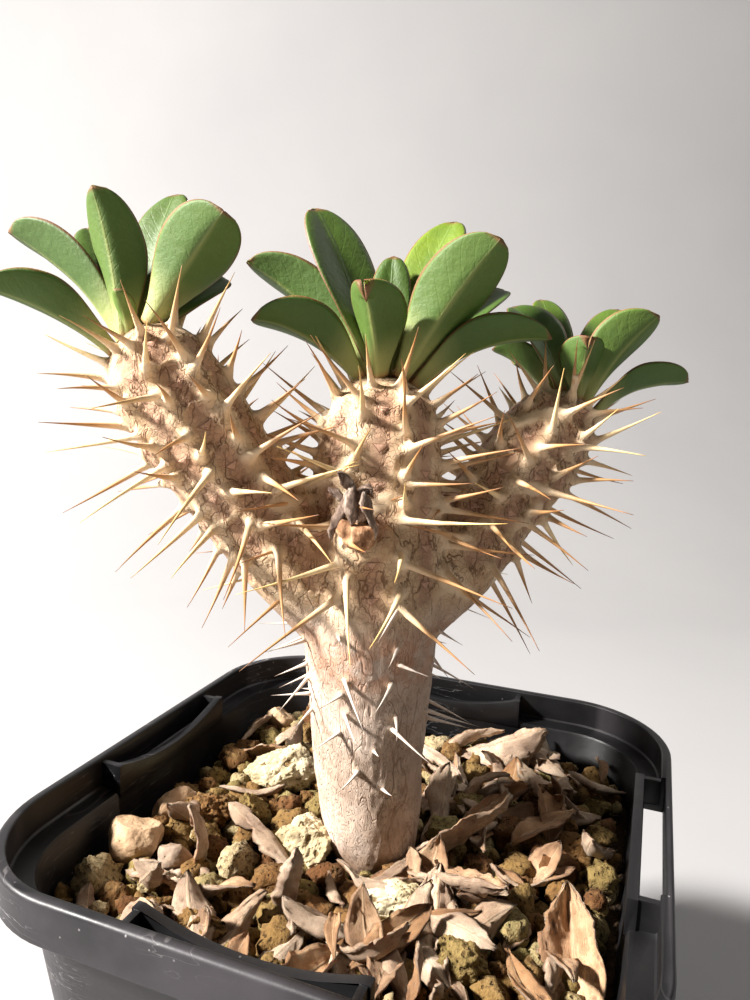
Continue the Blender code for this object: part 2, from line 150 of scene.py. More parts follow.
RIGHT_LIMB = [
    (2.0, 0.5, 106.0, 6.5),
    (8.8, 5.4, 115.5, 7.6),
    (15.2, 11.4, 125.5, 7.4),
    (20.0, 16.0, 133.5, 7.6),
    (22.8, 18.8, 138.2, 6.2),
    (23.9, 19.8, 140.4, 4.2),
    (24.4, 20.2, 141.4, 2.2),
]
PEG = [
    (0.2, -6.0, 118.0, 5.0),
    (0.9, -11.0, 119.8, 4.6),
    (1.4, -13.6, 121.0, 3.8),
    (1.5, -14.3, 121.4, 2.0),
]
LIMBS = {"centre": TRUNK, "left": LEFT_LIMB, "right": RIGHT_LIMB}
BARK_VOXEL = 0.00042
WRINKLE_COUNT = 46.0
PATCH_HEIGHT = 103.0

# Leaf scars with their pairs of spines, in ranks round each head
FACING = -69.5
RANKS = 8
SCAR_SPACING = 5.3
SCAR_REACH = 3.2
FAR_AWAY = 9.0
SPINE_ASIDE = 23.0
SPINE_SPLAY = 30.0
SPINE_SUNK = 1.6
SPINE_GIRTH = 0.86
OLD_SPINE_GIRTH = 0.5
CROWN_SPINES = 7
SPINE_LIMIT = -53.0
HEADS = {
    # limb: (from height, to height, turn of the first rank, ordinary spine length)
    "centre": (112.0, 141.0, 0.0, 17.0),
    "left": (119.0, 146.0, 25.7, 15.0),
    "right": (118.0, 139.5, 12.0, 14.5),
}
OLD_SPINES = (92.5, 111.5, 0.0, 8.5)
OLD_SPINE_SHARE = 0.72
STRAY_SPINES = [
    # height, turn from the facing side, length
    (86.0, -9.0, 5.0),
    (83.0, 14.0, 2.2),
    (89.5, 5.0, 1.8),
    (94.0, 62.0, 9.0),
    (91.5, 78.0, 8.0),
    (88.0, 150.0, 5.0),
    (90.0, -160.0, 6.0),
]

# Rosettes: (turn, rise, reach, width, fold, roll, bow, young)
ROSETTES = {
    "left": [
        (-138, 14, 20.0, 9.0, 0.95, 34, 0.04, 0.3),
        (-178, 33, 26.4, 12.0, 0.7, 42, 0.05, 0.05),
        (152, 43, 24.0, 8.0, 0.4, -20, 0.05, 0.1),
        (-142, 74, 20.0, 9.5, 0.9, 62, 0.02, 0.45),
        (99, 60, 25.0, 10.0, 0.3, -10, 0.05, 0.15),
        (-8, 44, 22.0, 11.5, 0.8, -48, 0.06, 0.25),
        (60, 46, 17.5, 6.5, 0.4, 30, 0.05, 0.2),
        (66, 31, 17.5, 8.0, 0.5, 30, 0.05, 0.0),
        (-80, 45, 7.5, 3.6, 0.8, 0, 0.0, 1.0),
        (122, 26, 17.0, 7.5, 0.5, 0, 0.05, 0.1),
    ],
    "centre": [
        (-168, 37, 27.5, 11.0, 0.85, 42, 0.05, 0.2),
        (-150, 21, 21.5, 11.0, 0.8, 34, 0.1, 0.0),
        (167, 61, 29.4, 11.0, 0.35, -25, 0.05, 0.1),
        (-98, 58, 15.5, 9.5, 1.3, 8, 0.0, 0.35),
        (106, 72, 19.5, 7.0, 0.4, 0, 0.03, 0.05),
        (70, 58, 29.8, 10.5, 0.4, 12, 0.04, 0.85),
        (-6, 49, 25.5, 12.0, 0.8, -52, 0.05, 0.35),
        (50, 34, 26.0, 10.5, 0.5, 20, 0.05, 0.0),
        (22, 15, 25.5, 9.8, 0.85, -28, 0.10, 0.0),
        (138, 40, 19.0, 8.0, 0.5, -10, 0.05, 0.0),
        (92, 26, 20.0, 9.0, 0.5, 0, 0.06, 0.1),
    ],
    "right": [
        (176, 28, 16.0, 7.5, 0.9, 36, 0.05, 0.3),
        (160, 50, 19.5, 9.5, 0.6, -25, 0.10, 0.0),
        (132, 56, 20.0, 7.5, 0.4, -10, 0.05, 0.3),
        (-62, 60, 11.0, 8.0, 1.1, -10, 0.0, 0.2),
        (64, 51, 19.5, 8.0, 0.5, 12, 0.04, 0.2),
        (4, 47, 18.0, 11.0, 0.8, -46, 0.04, 0.45),
        (34, 9, 21.5, 10.5, 0.6, -30, 0.09, 0.05),
        (95, 20, 17.0, 7.0, 0.4, 0, 0.05, 0.1),
        (140, 22, 16.0, 7.0, 0.4, 0, 0.05, 0.1),
    ],
}
# Slim young leaves, some still crimson: (turn, rise, reach, width, fold, roll, bow, young, flush)
YOUNG_LEAVES = {
    "left": [
        (163, 43, 15.5, 3.2, 0.4, 50, 0.02, 0.3, 1.0),
        (131, 51, 16.0, 3.4, 0.5, 60, 0.02, 0.1, 0.65),
    ],
    "centre": [
        (100, 64, 15.0, 3.4, 0.5, 50, 0.03, 0.3, 1.0),
    ],
    "right": [
        (88, 55, 12.5, 5.0, 0.4, 10, 0.03, 1.0, 0.1),
    ],
}
NOTCHED_LEAVES = ("centre_leaf_04", "right_leaf_04")
NOTCH_DEPTH = 0.22
CROWN_RING = 2.2
LOW_LEAF_RISE = 45.0
LOW_LEAF_OUT = 2.9
LOW_LEAF_DROP = 1.7
LEAF_SINK = 0.4
LEAF_SLIM = 0.88
WIDEST = 0.64
LEAF_GRID = (44, 16)

# Gravel: sizes for the bed, then how many tries and points the loose grains on it get
GRAVEL_BED = {"Least gap": 2.9, "Smallest grain": 3.0, "Largest grain": 5.4, "Uneven height": 1.3}
GRAVEL_DENSITY = 260000.0
LOOSE_TRIES = 4200
LARGE_TRIES = 1600
LOOSE_POINTS = 80000
SMALL_SHARE = 0.62
LOOSE_SPACE = 0.42

# Loose stones: name, kind, (x, y, z), (length, width, height), turn, tone
STONES = [
    ("pumice_large", "pumice", (-22.4, 9.5, 71.2), (13.0, 11.0, 9.0), 20, 0.9),
    ("pumice_front", "pumice", (-8.5, -9.5, 70.8), (10.0, 8.5, 8.0), 60, 0.85),
    ("stone_tan_left", "stone", (-33.2, -18.5, 70.8), (8.8, 8.0, 7.6), 0, 0.5),
    ("stone_long_left", "stone", (-34.0, -8.0, 70.2), (9.5, 5.5, 5.0), 60, 0.45),
    ("stone_grey_left", "stone", (-26.0, -18.8, 70.0), (5.8, 5.4, 5.0), 0, 0.12),
    ("gravel_brown_left", "gravel", (-27.5, -7.0, 70.6), (7.8, 6.4, 6.6), 10, 0.15),
    ("gravel_olive_left", "gravel", (-21.6, -3.2, 70.2), (6.2, 5.6, 5.2), 0, 0.55),
    ("stone_tan_back", "stone", (-33.0, 29.5, 70.2), (6.5, 5.5, 6.0), 0, 0.55),
    ("gravel_brown_front", "gravel", (-13.0, -31.0, 70.0), (8.5, 7.0, 6.0), 30, 0.3),
    ("pumice_centre", "pumice", (9.5, -16.0, 70.2), (10.0, 7.0, 6.0), 10, 0.7),
    ("gravel_olive_right", "gravel", (20.0, -23.5, 70.2), (7.5, 6.5, 6.5), 0, 0.6),
    ("gravel_brown_right", "gravel", (25.0, 17.5, 70.6), (8.5, 7.0, 6.5), 70, 0.1),
]

# Fallen leaves: name, (x, y, z), heading, pitch, roll, length, width, curl, bend, twist, tone
LITTER = [
    ("dry_leaf_curled", (-23.0, -32.5, 70.5), 150, 35, 10, 22.0, 8.0, 150, 200, 20, 0.35),
    ("dry_leaf_fan", (-21.5, -24.5, 70.0), 20, 10, -30, 14.0, 10.0, -100, 60, 30, 0.6),
    ("dry_leaf_twisted", (-9.0, -33.5, 69.5), 68, 40, 30, 20.0, 6.5, 160, 20, 120, 0.2),
    ("dry_leaf_arched", (-21.5, -17.0, 70.0), 20, 40, 180, 18.0, 6.0, 140, 90, 20, 0.75),
    ("dry_leaf_boat", (15.5, -18.5, 70.5), 100, 30, 0, 16.0, 9.0, 150, -20, 10, 0.35),
    ("dry_leaf_centre", (-5.0, -20.5, 70.0), 25, 30, 170, 15.0, 8.5, 120, 80, -30, 0.6),
    ("dry_leaf_front", (6.0, -33.0, 69.5), 88, 50, 0, 17.0, 9.5, 120, 60, -20, 0.4),
    ("dry_leaf_stick", (0.5, 25.0, 72.5), -42, 4, 30, 31.0, 3.2, 170, 10, 40, 0.7),
    ("dry_leaf_broad", (13.0, -2.0, 72.0), 5, 12, 150, 25.0, 10.0, 90, 50, 30, 0.65),
    ("dry_leaf_long", (15.0, -11.0, 72.0), -35, 4, 175, 26.0, 9.0, 100, 30, -20, 0.6),
    ("dry_leaf_side", (34.0, -19.0, 71.0), 100, 12, 170, 20.0, 10.0, 130, 50, 10, 0.5),
    ("dry_leaf_corner", (14.0, 31.0, 73.0), 5, 10, 20, 22.0, 8.5, 120, -40, 50, 0.5),
    ("dry_leaf_root_curl", (-6.0, 33.5, 73.0), -8, 20, 0, 14.0, 7.0, 150, 120, 40, 0.25),
]
SCRAPS = 190

# Dried flaps of the flower stub: place, heading, pitch, roll, length, width, curl, bend, twist
STUB_FLAPS = [
    ((-1.4, -16.6, 124.6), -80, 76, 90, 7.0, 3.4, 170, 40, 60),
    ((3.8, -16.6, 125.2), -60, 80, -80, 7.5, 3.6, 160, 30, -70),
    ((1.6, -18.0, 126.6), -70, 55, 180, 6.0, 3.2, 190, 70, 40),
    ((0.4, -16.2, 129.6), -120, 70, 20, 6.0, 2.8, 200, 60, 90),
    ((2.6, -16.0, 129.0), -20, 60, -30, 5.5, 3.0, 180, 90, -60),
    ((-0.8, -16.4, 127.8), 160, 60, 10, 4.5, 2.2, 150, 60, 120),
]


# Node graphs


class Number:
    """A shader or geometry socket that holds a number, so that sums are written as Python."""

    def __init__(self, graph, socket):
        self.graph = graph
        self.socket = socket

    def apply(self, operation, first, second=0.0):
        """One Math node."""
        return self.graph.number("ShaderNodeMath", {"operation": operation}, {0: first, 1: second})

    def __abs__(self):
        return self.apply("ABSOLUTE", self)

    def larger(self, other):
        """The larger of two numbers."""
        return self.apply("MAXIMUM", self, other)

    def rounded(self):
        """The nearest whole number."""
        return self.graph.number("ShaderNodeMath", {"operation": "ROUND"}, {0: self})

    def smaller(self, other):
        """The smaller of two numbers."""
        return self.apply("MINIMUM", self, other)


def add_operators(names):
    """Gives Number its plain and reflected operators."""
    for name, operation in names.items():
        setattr(Number, f"__{name}__", lambda self, other, kind=operation: self.apply(kind, self, other))
        setattr(Number, f"__r{name}__", lambda self, other, kind=operation: self.apply(kind, other, self))


add_operators({"add": "ADD", "sub": "SUBTRACT", "mul": "MULTIPLY", "truediv": "DIVIDE", "pow": "POWER"})


def socket_called(sockets, key):
    """A node's socket, by its number or by the name that is in use."""
    if isinstance(key, int):
        return sockets[key]
    return next(socket for socket in sockets if socket.name == key and socket.enabled)


class Graph:
    """A node tree that is built up one node at a time."""

    def __init__(self, tree):
        self.tree = tree

    def node(self, kind, settings=None, inputs=None, output=None):
        """Makes a node, its settings first, and gives back one of its outputs."""
        made = self.tree.nodes.new(kind)
        for name, value in (settings or {}).items():
            if name == "stops":
                set_stops(made.color_ramp, value)
            else:
                setattr(made, name, value)
        for key, value in (inputs or {}).items():
            self.feed(socket_called(made.inputs, key), value)
        if output is None:
            return next(socket for socket in made.outputs if socket.enabled)
        return socket_called(made.outputs, output)

    def feed(self, socket, value):
        """Gives a socket a link or a plain value."""
        if isinstance(value, Number):
            value = value.socket
        if isinstance(value, bpy.types.NodeSocket):
            self.tree.links.new(value, socket)
        else:
            socket.default_value = value

    def number(self, kind, settings=None, inputs=None, output=None):
        """A node whose output is a number."""
        return Number(self, self.node(kind, settings, inputs, output))


def set_stops(ramp, stops):
    """Sets a colour ramp's stops, each (place, colour)."""
    while len(ramp.elements) < len(stops):
        ramp.elements.new(1.0)
    for element, (place, colour) in zip(ramp.elements, stops):
        element.position = place
        element.color = (*colour, 1.0)


class Paint(Graph):
    """A Principled material."""

    def __init__(self, name, constants=None):
        self.material = bpy.data.materials.new(name)
        self.material.use_nodes = True
        super().__init__(self.material.node_tree)
        self.shader = self.tree.nodes["Principled BSDF"]
        for key, value in (constants or {}).items():
            self.shader.inputs[key].default_value = value
        self.place = self.node("ShaderNodeTexCoord", output="Object")

    def set(self, **links):
        """Feeds the shader's own sockets, named with _ for a space."""
        for key, value in links.items():
            self.feed(self.shader.inputs[key.replace("_", " ")], value)

    def scaled(self, *scale):
        """Object coordinates stretched by a scale for each axis."""
        return self.node("ShaderNodeMapping", {}, {"Vector": self.place, "Scale": scale})

    def noise(self, scale, detail=3.0, rough=0.55, vector=None):
        """Smooth noise between 0 and 1."""
        inputs = {"Vector": vector or self.place, "Scale": scale, "Detail": detail, "Roughness": rough}
        return self.number("ShaderNodeTexNoise", {}, inputs, 0)

    def cells(self, scale, feature="F1", vector=None):
        """The distance to the middle, or to the edge, of scattered cells."""
        inputs = {"Vector": vector or self.place, "Scale": scale}
        return self.number("ShaderNodeTexVoronoi", {"feature": feature}, inputs, "Distance")

    def vector(self, operation, inputs):
        """One Vector Math node."""
        return self.node("ShaderNodeVectorMath", {"operation": operation}, inputs)

    def wobbled(self, amount, scale, vector=None):
        """Coordinates pushed about by noise, for lines that shouldn't run straight."""
        vector = vector or self.place
        drift = self.node("ShaderNodeTexNoise", {}, {"Vector": vector, "Scale": scale, "Detail": 2.0}, 1)
        centred = self.vector("SUBTRACT", {0: drift, 1: (0.5, 0.5, 0.5)})
        push = self.vector("SCALE", {0: centred, "Scale": amount})
        return self.vector("ADD", {0: vector, 1: push})

    def step(self, value, low, high):
        """Runs smoothly from 0 at low to 1 at high."""
        inputs = {"Value": value, "From Min": low, "From Max": high}
        return self.number("ShaderNodeMapRange", {"interpolation_type": "SMOOTHSTEP"}, inputs)

    def attribute(self, name):
        """A number kept on the mesh."""
        return self.number("ShaderNodeAttribute", {"attribute_name": name}, {}, "Fac")

    def mix(self, factor, first, second):
        """A mix of two colours."""
        colours = [(*c, 1.0) if isinstance(c, tuple) else c for c in (first, second)]
        inputs = {"Factor": factor, "A": colours[0], "B": colours[1]}
        return self.node("ShaderNodeMix", {"data_type": "RGBA"}, inputs)

    def ramp(self, value, places, *colours):
        """A colour picked along a ramp that has one colour at each place."""
        stops = list(zip(places, colours))
        return self.node("ShaderNodeValToRGB", {"stops": stops}, {"Fac": value}, "Color")

    def finish(self, skin, rough, height, depth):
        """Feeds the shader its colour, its roughness and its relief, and gives back the material."""
        relief = self.node("ShaderNodeBump", {}, {"Height": height, "Distance": depth})
        self.set(Base_Color=skin, Roughness=rough, Normal=relief)
        return self.material


class Growth(Graph):
    """A Geometry Nodes tree with named inputs."""

    def __init__(self, name):
        tree = bpy.data.node_groups.new(name, "GeometryNodeTree")
        super().__init__(tree)
        tree.interface.new_socket("Geometry", in_out="INPUT", socket_type="NodeSocketGeometry")
        tree.interface.new_socket("Geometry", in_out="OUTPUT", socket_type="NodeSocketGeometry")
        self.names = {}
        self.source = tree.nodes.new("NodeGroupInput")
        self.geometry = self.source.outputs[0]

    def input(self, name, kind, value):
        """Adds a named input and gives back its socket inside the tree."""
        made = self.tree.interface.new_socket(name, in_out="INPUT", socket_type=kind)
        made.default_value = value
        self.names[name] = made.identifier
        return next(socket for socket in self.source.outputs if socket.identifier == made.identifier)

    def random(self, low, high, seed, kind="FLOAT"):
        """A random value for each element."""
        settings = {"data_type": kind}
        return self.node("FunctionNodeRandomValue", settings, {"Min": low, "Max": high, "Seed": seed})

    def kept(self, name, kind="FLOAT"):
        """A value kept on the mesh."""
        return self.node("GeometryNodeInputNamedAttribute", {"data_type": kind}, {"Name": name})

    def keep(self, geometry, name, value):
        """Keeps a number on each point."""
        settings = {"data_type": "FLOAT", "domain": "POINT"}
        inputs = {"Geometry": geometry, "Name": name, "Value": value}
        return self.node("GeometryNodeStoreNamedAttribute", settings, inputs)

    def place_on(self, points, kind, turns, sizes, pick=False):
        """Puts a copy of one thing, or of one out of many, on each point."""
        inputs = {"Points": points, "Instance": kind, "Pick Instance": pick}
        inputs.update({"Rotation": turns, "Scale": sizes})
        return self.node("GeometryNodeInstanceOnPoints", {}, inputs)

    def finish(self, geometry, material):
        """Realizes the instances, sets the material and closes the tree."""
        real = self.node("GeometryNodeRealizeInstances", {}, {"Geometry": geometry})
        smooth = self.node("GeometryNodeSetShadeSmooth", {}, {"Geometry": real, "Shade Smooth": True})
        painted = self.node("GeometryNodeSetMaterial", {}, {"Geometry": smooth, "Material": material})
        out = self.tree.nodes.new("NodeGroupOutput")
        self.tree.links.new(painted, out.inputs[0])

    def grow(self, base, name, values):
        """Runs the tree on an object and gives back the result as a plain mesh object."""
        step = base.modifiers.new("Growth", "NODES")
        step.node_group = self.tree
        for key, value in values.items():
            step[self.names[key]] = value
        made = baked(base, name)
        bpy.data.objects.remove(base, do_unlink=True)
        return made


# Meshes


def baked(source, name):
    """A plain mesh object of what an object evaluates to."""
    bpy.context.view_layer.update()
    evaluated = source.evaluated_get(bpy.context.evaluated_depsgraph_get())
    mesh = bpy.data.meshes.new_from_object(evaluated)
    mesh.name = name
    made = bpy.data.objects.new(name, mesh)
    bpy.context.scene.collection.objects.link(made)
    return made


def add_object(shape, name, material=None, smooth=True):
    """Turns a bmesh in millimetres into an object in metres."""
    bmesh.ops.scale(shape, vec=(MM, MM, MM), verts=shape.verts)
    mesh = bpy.data.meshes.new(name)
    shape.to_mesh(mesh)
    shape.free()
    made = bpy.data.objects.new(name, mesh)
    bpy.context.scene.collection.objects.link(made)
    if material:
        mesh.materials.append(material)
    if smooth:
        mesh.shade_smooth()
    return made


def piece(made, slot, *nodes):
    """Enters a finished piece under the root body and hides the nodes that it stands for; its slot is not
    used.
    """
    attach(made, "root")
    if nodes:
        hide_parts(*nodes)


def loft(rings):
    """A closed surface through rings that have the same number of points."""
    shape = bmesh.new()
    rows = [[shape.verts.new(point) for point in ring] for ring in rings]
    for lower, upper in zip(rows, rows[1:]):
        for i in range(len(lower)):
            j = (i + 1) % len(lower)
            shape.faces.new((lower[i], lower[j], upper[j], upper[i]))
    shape.faces.new(rows[0])
    shape.faces.new(rows[-1])
    bmesh.ops.recalc_face_normals(shape, faces=shape.faces)
    return shape


def points_of(mesh):
    """The places of a mesh's points, in millimetres."""
    points = np.empty(len(mesh.vertices) * 3)
    mesh.vertices.foreach_get("co", points)
    return points.reshape(-1, 3) / MM


def set_numbers(mesh, name, values):
    """Keeps one number for each vertex."""
    kept = mesh.attributes.new(name, "FLOAT", "POINT")
    kept.data.foreach_set("value", np.asarray(values, dtype=np.float32))


def smoothstep(low, high, value):
    """Runs smoothly from 0 at low to 1 at high."""
    share = np.clip((value - low) / (high - low), 0.0, 1.0)
    return share * share * (3.0 - 2.0 * share)


def heading(azimuth, rise):
    """The unit vector at a turn from +X and a rise from level, in degrees."""
    around, up = math.radians(azimuth), math.radians(rise)
    return Vector((math.cos(up) * math.cos(around), math.cos(up) * math.sin(around), math.sin(up)))


def drawn(draw, *limits):
    """A vector of three random draws."""
    return Vector([draw(*limits) for _ in range(3)])


def curve_through(stations, count):
    """Points on a smooth curve through stations of any number of values."""
    points = np.asarray(stations, dtype=float)
    padded = np.vstack([2 * points[0] - points[1], points, 2 * points[-1] - points[-2]])
    made = []
    for place in np.linspace(0, len(points) - 1, count):
        i = min(int(place), len(points) - 2)
        t = place - i
        a, b, c, d = padded[i : i + 4]
        square = (2 * a - 5 * b + 4 * c - d) * t**2
        cube = (3 * b - 3 * c + d - a) * t**3
        made.append(0.5 * (2 * b + (c - a) * t + square + cube))
    return made


# Materials


def black_plastic():
    """Black moulded plastic with dust, fine scratches and pale specks; the inside of the pot is painted
    darker as shade.
    """
    paint = Paint("black_plastic", {"Specular IOR Level": 0.36})
    dust = paint.step(paint.noise(55.0, 4.0, 0.6), 0.35, 0.75)
    fine = paint.noise(900.0, 3.0, 0.7)
    specks = 1.0 - paint.step(paint.cells(420.0), 0.03, 0.09)
    specks = specks * paint.step(paint.noise(130.0, 2.0), 0.44, 0.56)
    rubs = paint.noise(60.0, 3.0, 0.6, paint.scaled(1.0, 1.0, 9.0))
    strokes = paint.noise(160.0, 2.0, 0.5, paint.scaled(1.0, 0.25, 5.0))
    scratches = paint.step(abs(strokes - 0.5), 0.012, 0.0)
    scratches = scratches * paint.step(paint.noise(40.0, 1.0), 0.5, 0.62)
    outside = paint.attribute("outside")
    # Painted shade: the inside of the pot is a darker black than the outside. The dust, scratches and specks
    # are also fainter inside.
    base = paint.mix(outside, (0.0025, 0.0025, 0.003), (0.010, 0.0095, 0.011))
    dusty = paint.mix(dust * (0.05 + 0.6 * outside), base, (0.05, 0.044, 0.05))
    marks = (scratches * 0.5 + specks * 0.8).smaller(1.0) * (0.25 + 0.75 * outside)
    marked = paint.mix(marks, dusty, (0.32, 0.30, 0.30))
    rough = 0.3 + 0.16 * dust + 0.12 * rubs + 0.05 * fine + 0.3 * specks
    return paint.finish(marked, rough, fine * 0.6 + rubs * 0.4 - scratches * 0.5 + specks, 0.00004)


def bark():
    """Pale golden bark with a net of dark cracks, pink leaf scars, painted shade in the grooves of the heads
    and a damp brown foot.
    """
    paint = Paint("bark", {"Specular IOR Level": 0.3})
    head = paint.attribute("head")
    grown = paint.attribute("swelling")
    foot = paint.attribute("foot")
    groove = paint.attribute("groove")
    upright = paint.scaled(1.0, 1.0, 0.27)
    broad = paint.noise(140.0, 4.0, 0.6)
    fine = paint.noise(1500.0, 4.0, 0.65)
    tone = paint.noise(330.0, 3.0, 0.6)
    # long wavy wrinkles of the trunk
    waves = paint.noise(120.0, 5.0, 0.6, paint.wobbled(0.0007, 600.0, upright)) * WRINKLE_COUNT
    ridges = paint.number("ShaderNodeMath", {"operation": "PINGPONG"}, {0: waves, 1: 0.5})
    coarse = paint.noise(260.0, 2.0, 0.5, paint.wobbled(0.0014, 300.0, upright))
    furrow = (1.0 - paint.step(ridges, 0.03, 0.22)) * paint.step(fine, 0.35, 0.6) * 0.7
    furrow = furrow.larger(paint.step(abs(coarse - 0.5), 0.014, 0.0) * 0.8)
    # net of cracks on the heads
    net = paint.noise(330.0, 3.0, 0.6, paint.wobbled(0.002, 330.0, paint.scaled(1.0, 1.0, 0.45)))
    small = paint.cells(1300.0, "DISTANCE_TO_EDGE", paint.wobbled(0.0012, 700.0))
    crack = paint.step(abs(net - 0.5), 0.028, 0.0).larger((1.0 - paint.step(small, 0.0, 0.08)) * 0.4)
    crack = crack * paint.step(paint.noise(200.0, 2.0), 0.25, 0.5) * (1.0 - 0.85 * grown)
    lines = furrow * (1.0 - head) * (0.5 + 0.5 * paint.step(tone, 0.3, 0.6)) + crack * head
    spread = (0.25, 0.5, 0.75)
    trunk = paint.ramp(broad, spread, (0.38, 0.27, 0.20), (0.55, 0.425, 0.335), (0.68, 0.565, 0.475))
    gold = paint.ramp(broad, spread, (0.36, 0.215, 0.11), (0.58, 0.41, 0.25), (0.76, 0.61, 0.42))
    skin = paint.mix(head, trunk, gold)
    # Painted shade: the grooves along the ranks of leaf scars on the heads are darkened to a red brown.
    skin = paint.mix(groove * 0.7 * head, skin, (0.36, 0.20, 0.13))
    skin = paint.mix(paint.step(tone, 0.52, 0.72) * 0.35 * head, skin, (0.60, 0.33, 0.20))
    skin = paint.mix(grown * 0.8, skin, (0.74, 0.58, 0.39))
    dark = paint.mix(head, (0.22, 0.125, 0.08), (0.15, 0.07, 0.032))
    skin = paint.mix(lines * (0.75 + 0.05 * head), skin, dark)
    patch = paint.attribute("patch")
    skin = paint.mix(patch * paint.step(tone, 0.35, 0.6) * 0.6, skin, (0.46, 0.22, 0.12))
    # leaf scars: a pink shield with a dark rim
    across = paint.attribute("scar_across")
    along = paint.attribute("scar_along")
    shield = ((abs(across) - along) / 0.85).larger(along / 0.45) + (tone - 0.5) * 0.5
    inside = 1.0 - paint.step(shield, 0.9, 1.05)
    rim = inside * paint.step(shield, 0.68, 0.88)
    skin = paint.mix(inside * 0.65, skin, (0.60, 0.36, 0.25))
    skin = paint.mix(rim * 0.65, skin, (0.24, 0.11, 0.055))
    skin = paint.mix(foot * 0.8, skin, (0.20, 0.105, 0.055))
    skin = paint.mix(paint.step(fine, 0.55, 0.8) * 0.25, skin, (0.30, 0.18, 0.11))
    rough = 0.62 + 0.2 * fine - 0.18 * grown + 0.1 * lines
    height = fine * 0.25 + tone * 0.5 - lines * 1.1 + inside * 0.5 - rim * 0.9
    return paint.finish(skin, rough, height, 0.00016)


def spine_horn():
    """Horny spines: cream at the foot, tan, then orange brown at the point; the old ones are bleached."""
    paint = Paint("spine_horn", {"Specular IOR Level": 0.45})
    along = paint.attribute("along")
    old = paint.attribute("old")
    hue = paint.attribute("hue")
    tan = (0.74, 0.57, 0.38), (0.70, 0.50, 0.30), (0.54, 0.30, 0.13), (0.36, 0.16, 0.05), (0.20, 0.08, 0.03)
    young = paint.ramp(along, (0.0, 0.2, 0.4, 0.8, 1.0), *tan)
    amber = paint.ramp(along, (0.0, 0.4, 1.0), (0.80, 0.62, 0.40), (0.82, 0.62, 0.33), (0.80, 0.52, 0.16))
    bleached = paint.ramp(along, (0.0, 0.7, 1.0), (0.66, 0.55, 0.46), (0.70, 0.62, 0.54), (0.12, 0.07, 0.05))
    skin = paint.mix(paint.step(hue, 0.65, 0.9), young, amber)
    skin = paint.mix(old, skin, bleached)
    streaks = paint.noise(1400.0, 3.0, 0.6)
    skin = paint.mix(paint.step(streaks, 0.5, 0.8) * 0.3, skin, (0.34, 0.19, 0.10))
    return paint.finish(skin, 0.38 + 0.2 * streaks + 0.12 * old, streaks, 0.00003)


def leaf_green():
    """Leaf: deep green and glossy above, grey green below, red margin, pale keel and foot."""
    paint = Paint(
        "leaf_green",
        {
            "Subsurface Weight": 0.08,
            "Subsurface Radius": (0.4, 1.0, 0.2),
            "Subsurface Scale": 0.0012,
            "Specular IOR Level": 0.4,
            "Coat Roughness": 0.3,
        },
    )
    along = paint.attribute("along")
    across = paint.attribute("across")
    upper = paint.step(paint.attribute("side"), -0.2, 0.2)
    young = paint.attribute("young")
    flush = paint.attribute("flush")
    cloud = paint.noise(230.0, 3.0, 0.6)
    grain = paint.noise(2600.0, 3.0, 0.7)
    edge = abs(across)
    foot = 1.0 - paint.step(along + (cloud - 0.5) * 0.12, 0.06, 0.46)
    # side veins slant from the midrib towards the tip
    slant = along * 9.0 - edge * 2.2
    vein = paint.step(abs(slant - slant.rounded()), 0.09, 0.0)
    midrib = 1.0 - paint.step(edge, 0.015, 0.06)
    keel = 1.0 - paint.step(edge + along * 0.12, 0.05, 0.2)
    above = paint.mix(young, (0.038, 0.078, 0.008), (0.15, 0.22, 0.012))
    above = paint.mix(paint.step(cloud, 0.35, 0.7) * 0.5, above, (0.06, 0.12, 0.012))
    above = paint.mix(vein * 0.05 * (1.0 - midrib), above, (0.12, 0.22, 0.05))
    above = paint.mix(midrib * 0.2, above, (0.16, 0.24, 0.07))
    below = paint.mix(young, (0.052, 0.104, 0.015), (0.11, 0.175, 0.022))
    below = paint.mix(paint.step(cloud, 0.3, 0.75) * 0.45, below, (0.075, 0.14, 0.03))
    below = paint.mix(paint.step(grain, 0.5, 0.75) * 0.25, below, (0.115, 0.185, 0.06))
    below = paint.mix(keel * 0.55, below, (0.30, 0.33, 0.10))
    skin = paint.mix(upper, below, above)
    skin = paint.mix(foot * (0.4 + 0.3 * (1.0 - upper)), skin, (0.46, 0.47, 0.17))
    base = 1.0 - paint.step(along, 0.0, 0.1)
    skin = paint.mix(base * 0.8, skin, (0.42, 0.17, 0.075))
    rim = paint.step(edge + (cloud - 0.5) * 0.05, 0.925, 0.985)
    tip = paint.step(along + (cloud - 0.5) * 0.03, 0.955, 0.995)
    skin = paint.mix((rim * 0.75 + tip * 0.7).smaller(0.95), skin, (0.20, 0.045, 0.03))
    skin = paint.mix(flush * 0.85, skin, (0.30, 0.02, 0.045))
    paint.set(Coat_Weight=0.06 * upper)
    pucker = paint.noise(900.0, 3.0, 0.6)
    height = grain * 0.3 + pucker * 0.8 + cloud + midrib * 0.25 - vein * 0.1
    return paint.finish(skin, 0.48 + 0.06 * (1.0 - upper) + 0.12 * grain, height, 0.00014)


def dried_flower():
    """Shrivelled grey-brown flower remains."""
    paint = Paint("dried_flower", {"Specular IOR Level": 0.25})
    tone = paint.attribute("tone")
    folds = paint.noise(520.0, 4.0, 0.65, paint.scaled(1.6, 1.6, 0.5))
    fine = paint.noise(2200.0, 3.0, 0.7)
    spread = (0.3, 0.5, 0.72)
    grey = paint.ramp(folds, spread, (0.035, 0.022, 0.018), (0.16, 0.115, 0.09), (0.48, 0.40, 0.34))
    warm = paint.ramp(folds, spread, (0.12, 0.045, 0.018), (0.42, 0.22, 0.11), (0.74, 0.52, 0.32))
    skin = paint.mix(tone, grey, warm)
    skin = paint.mix(paint.step(fine, 0.55, 0.75) * 0.4, skin, (0.06, 0.035, 0.025))
    return paint.finish(skin, 0.7 + 0.2 * fine, folds + fine * 0.3, 0.00025)


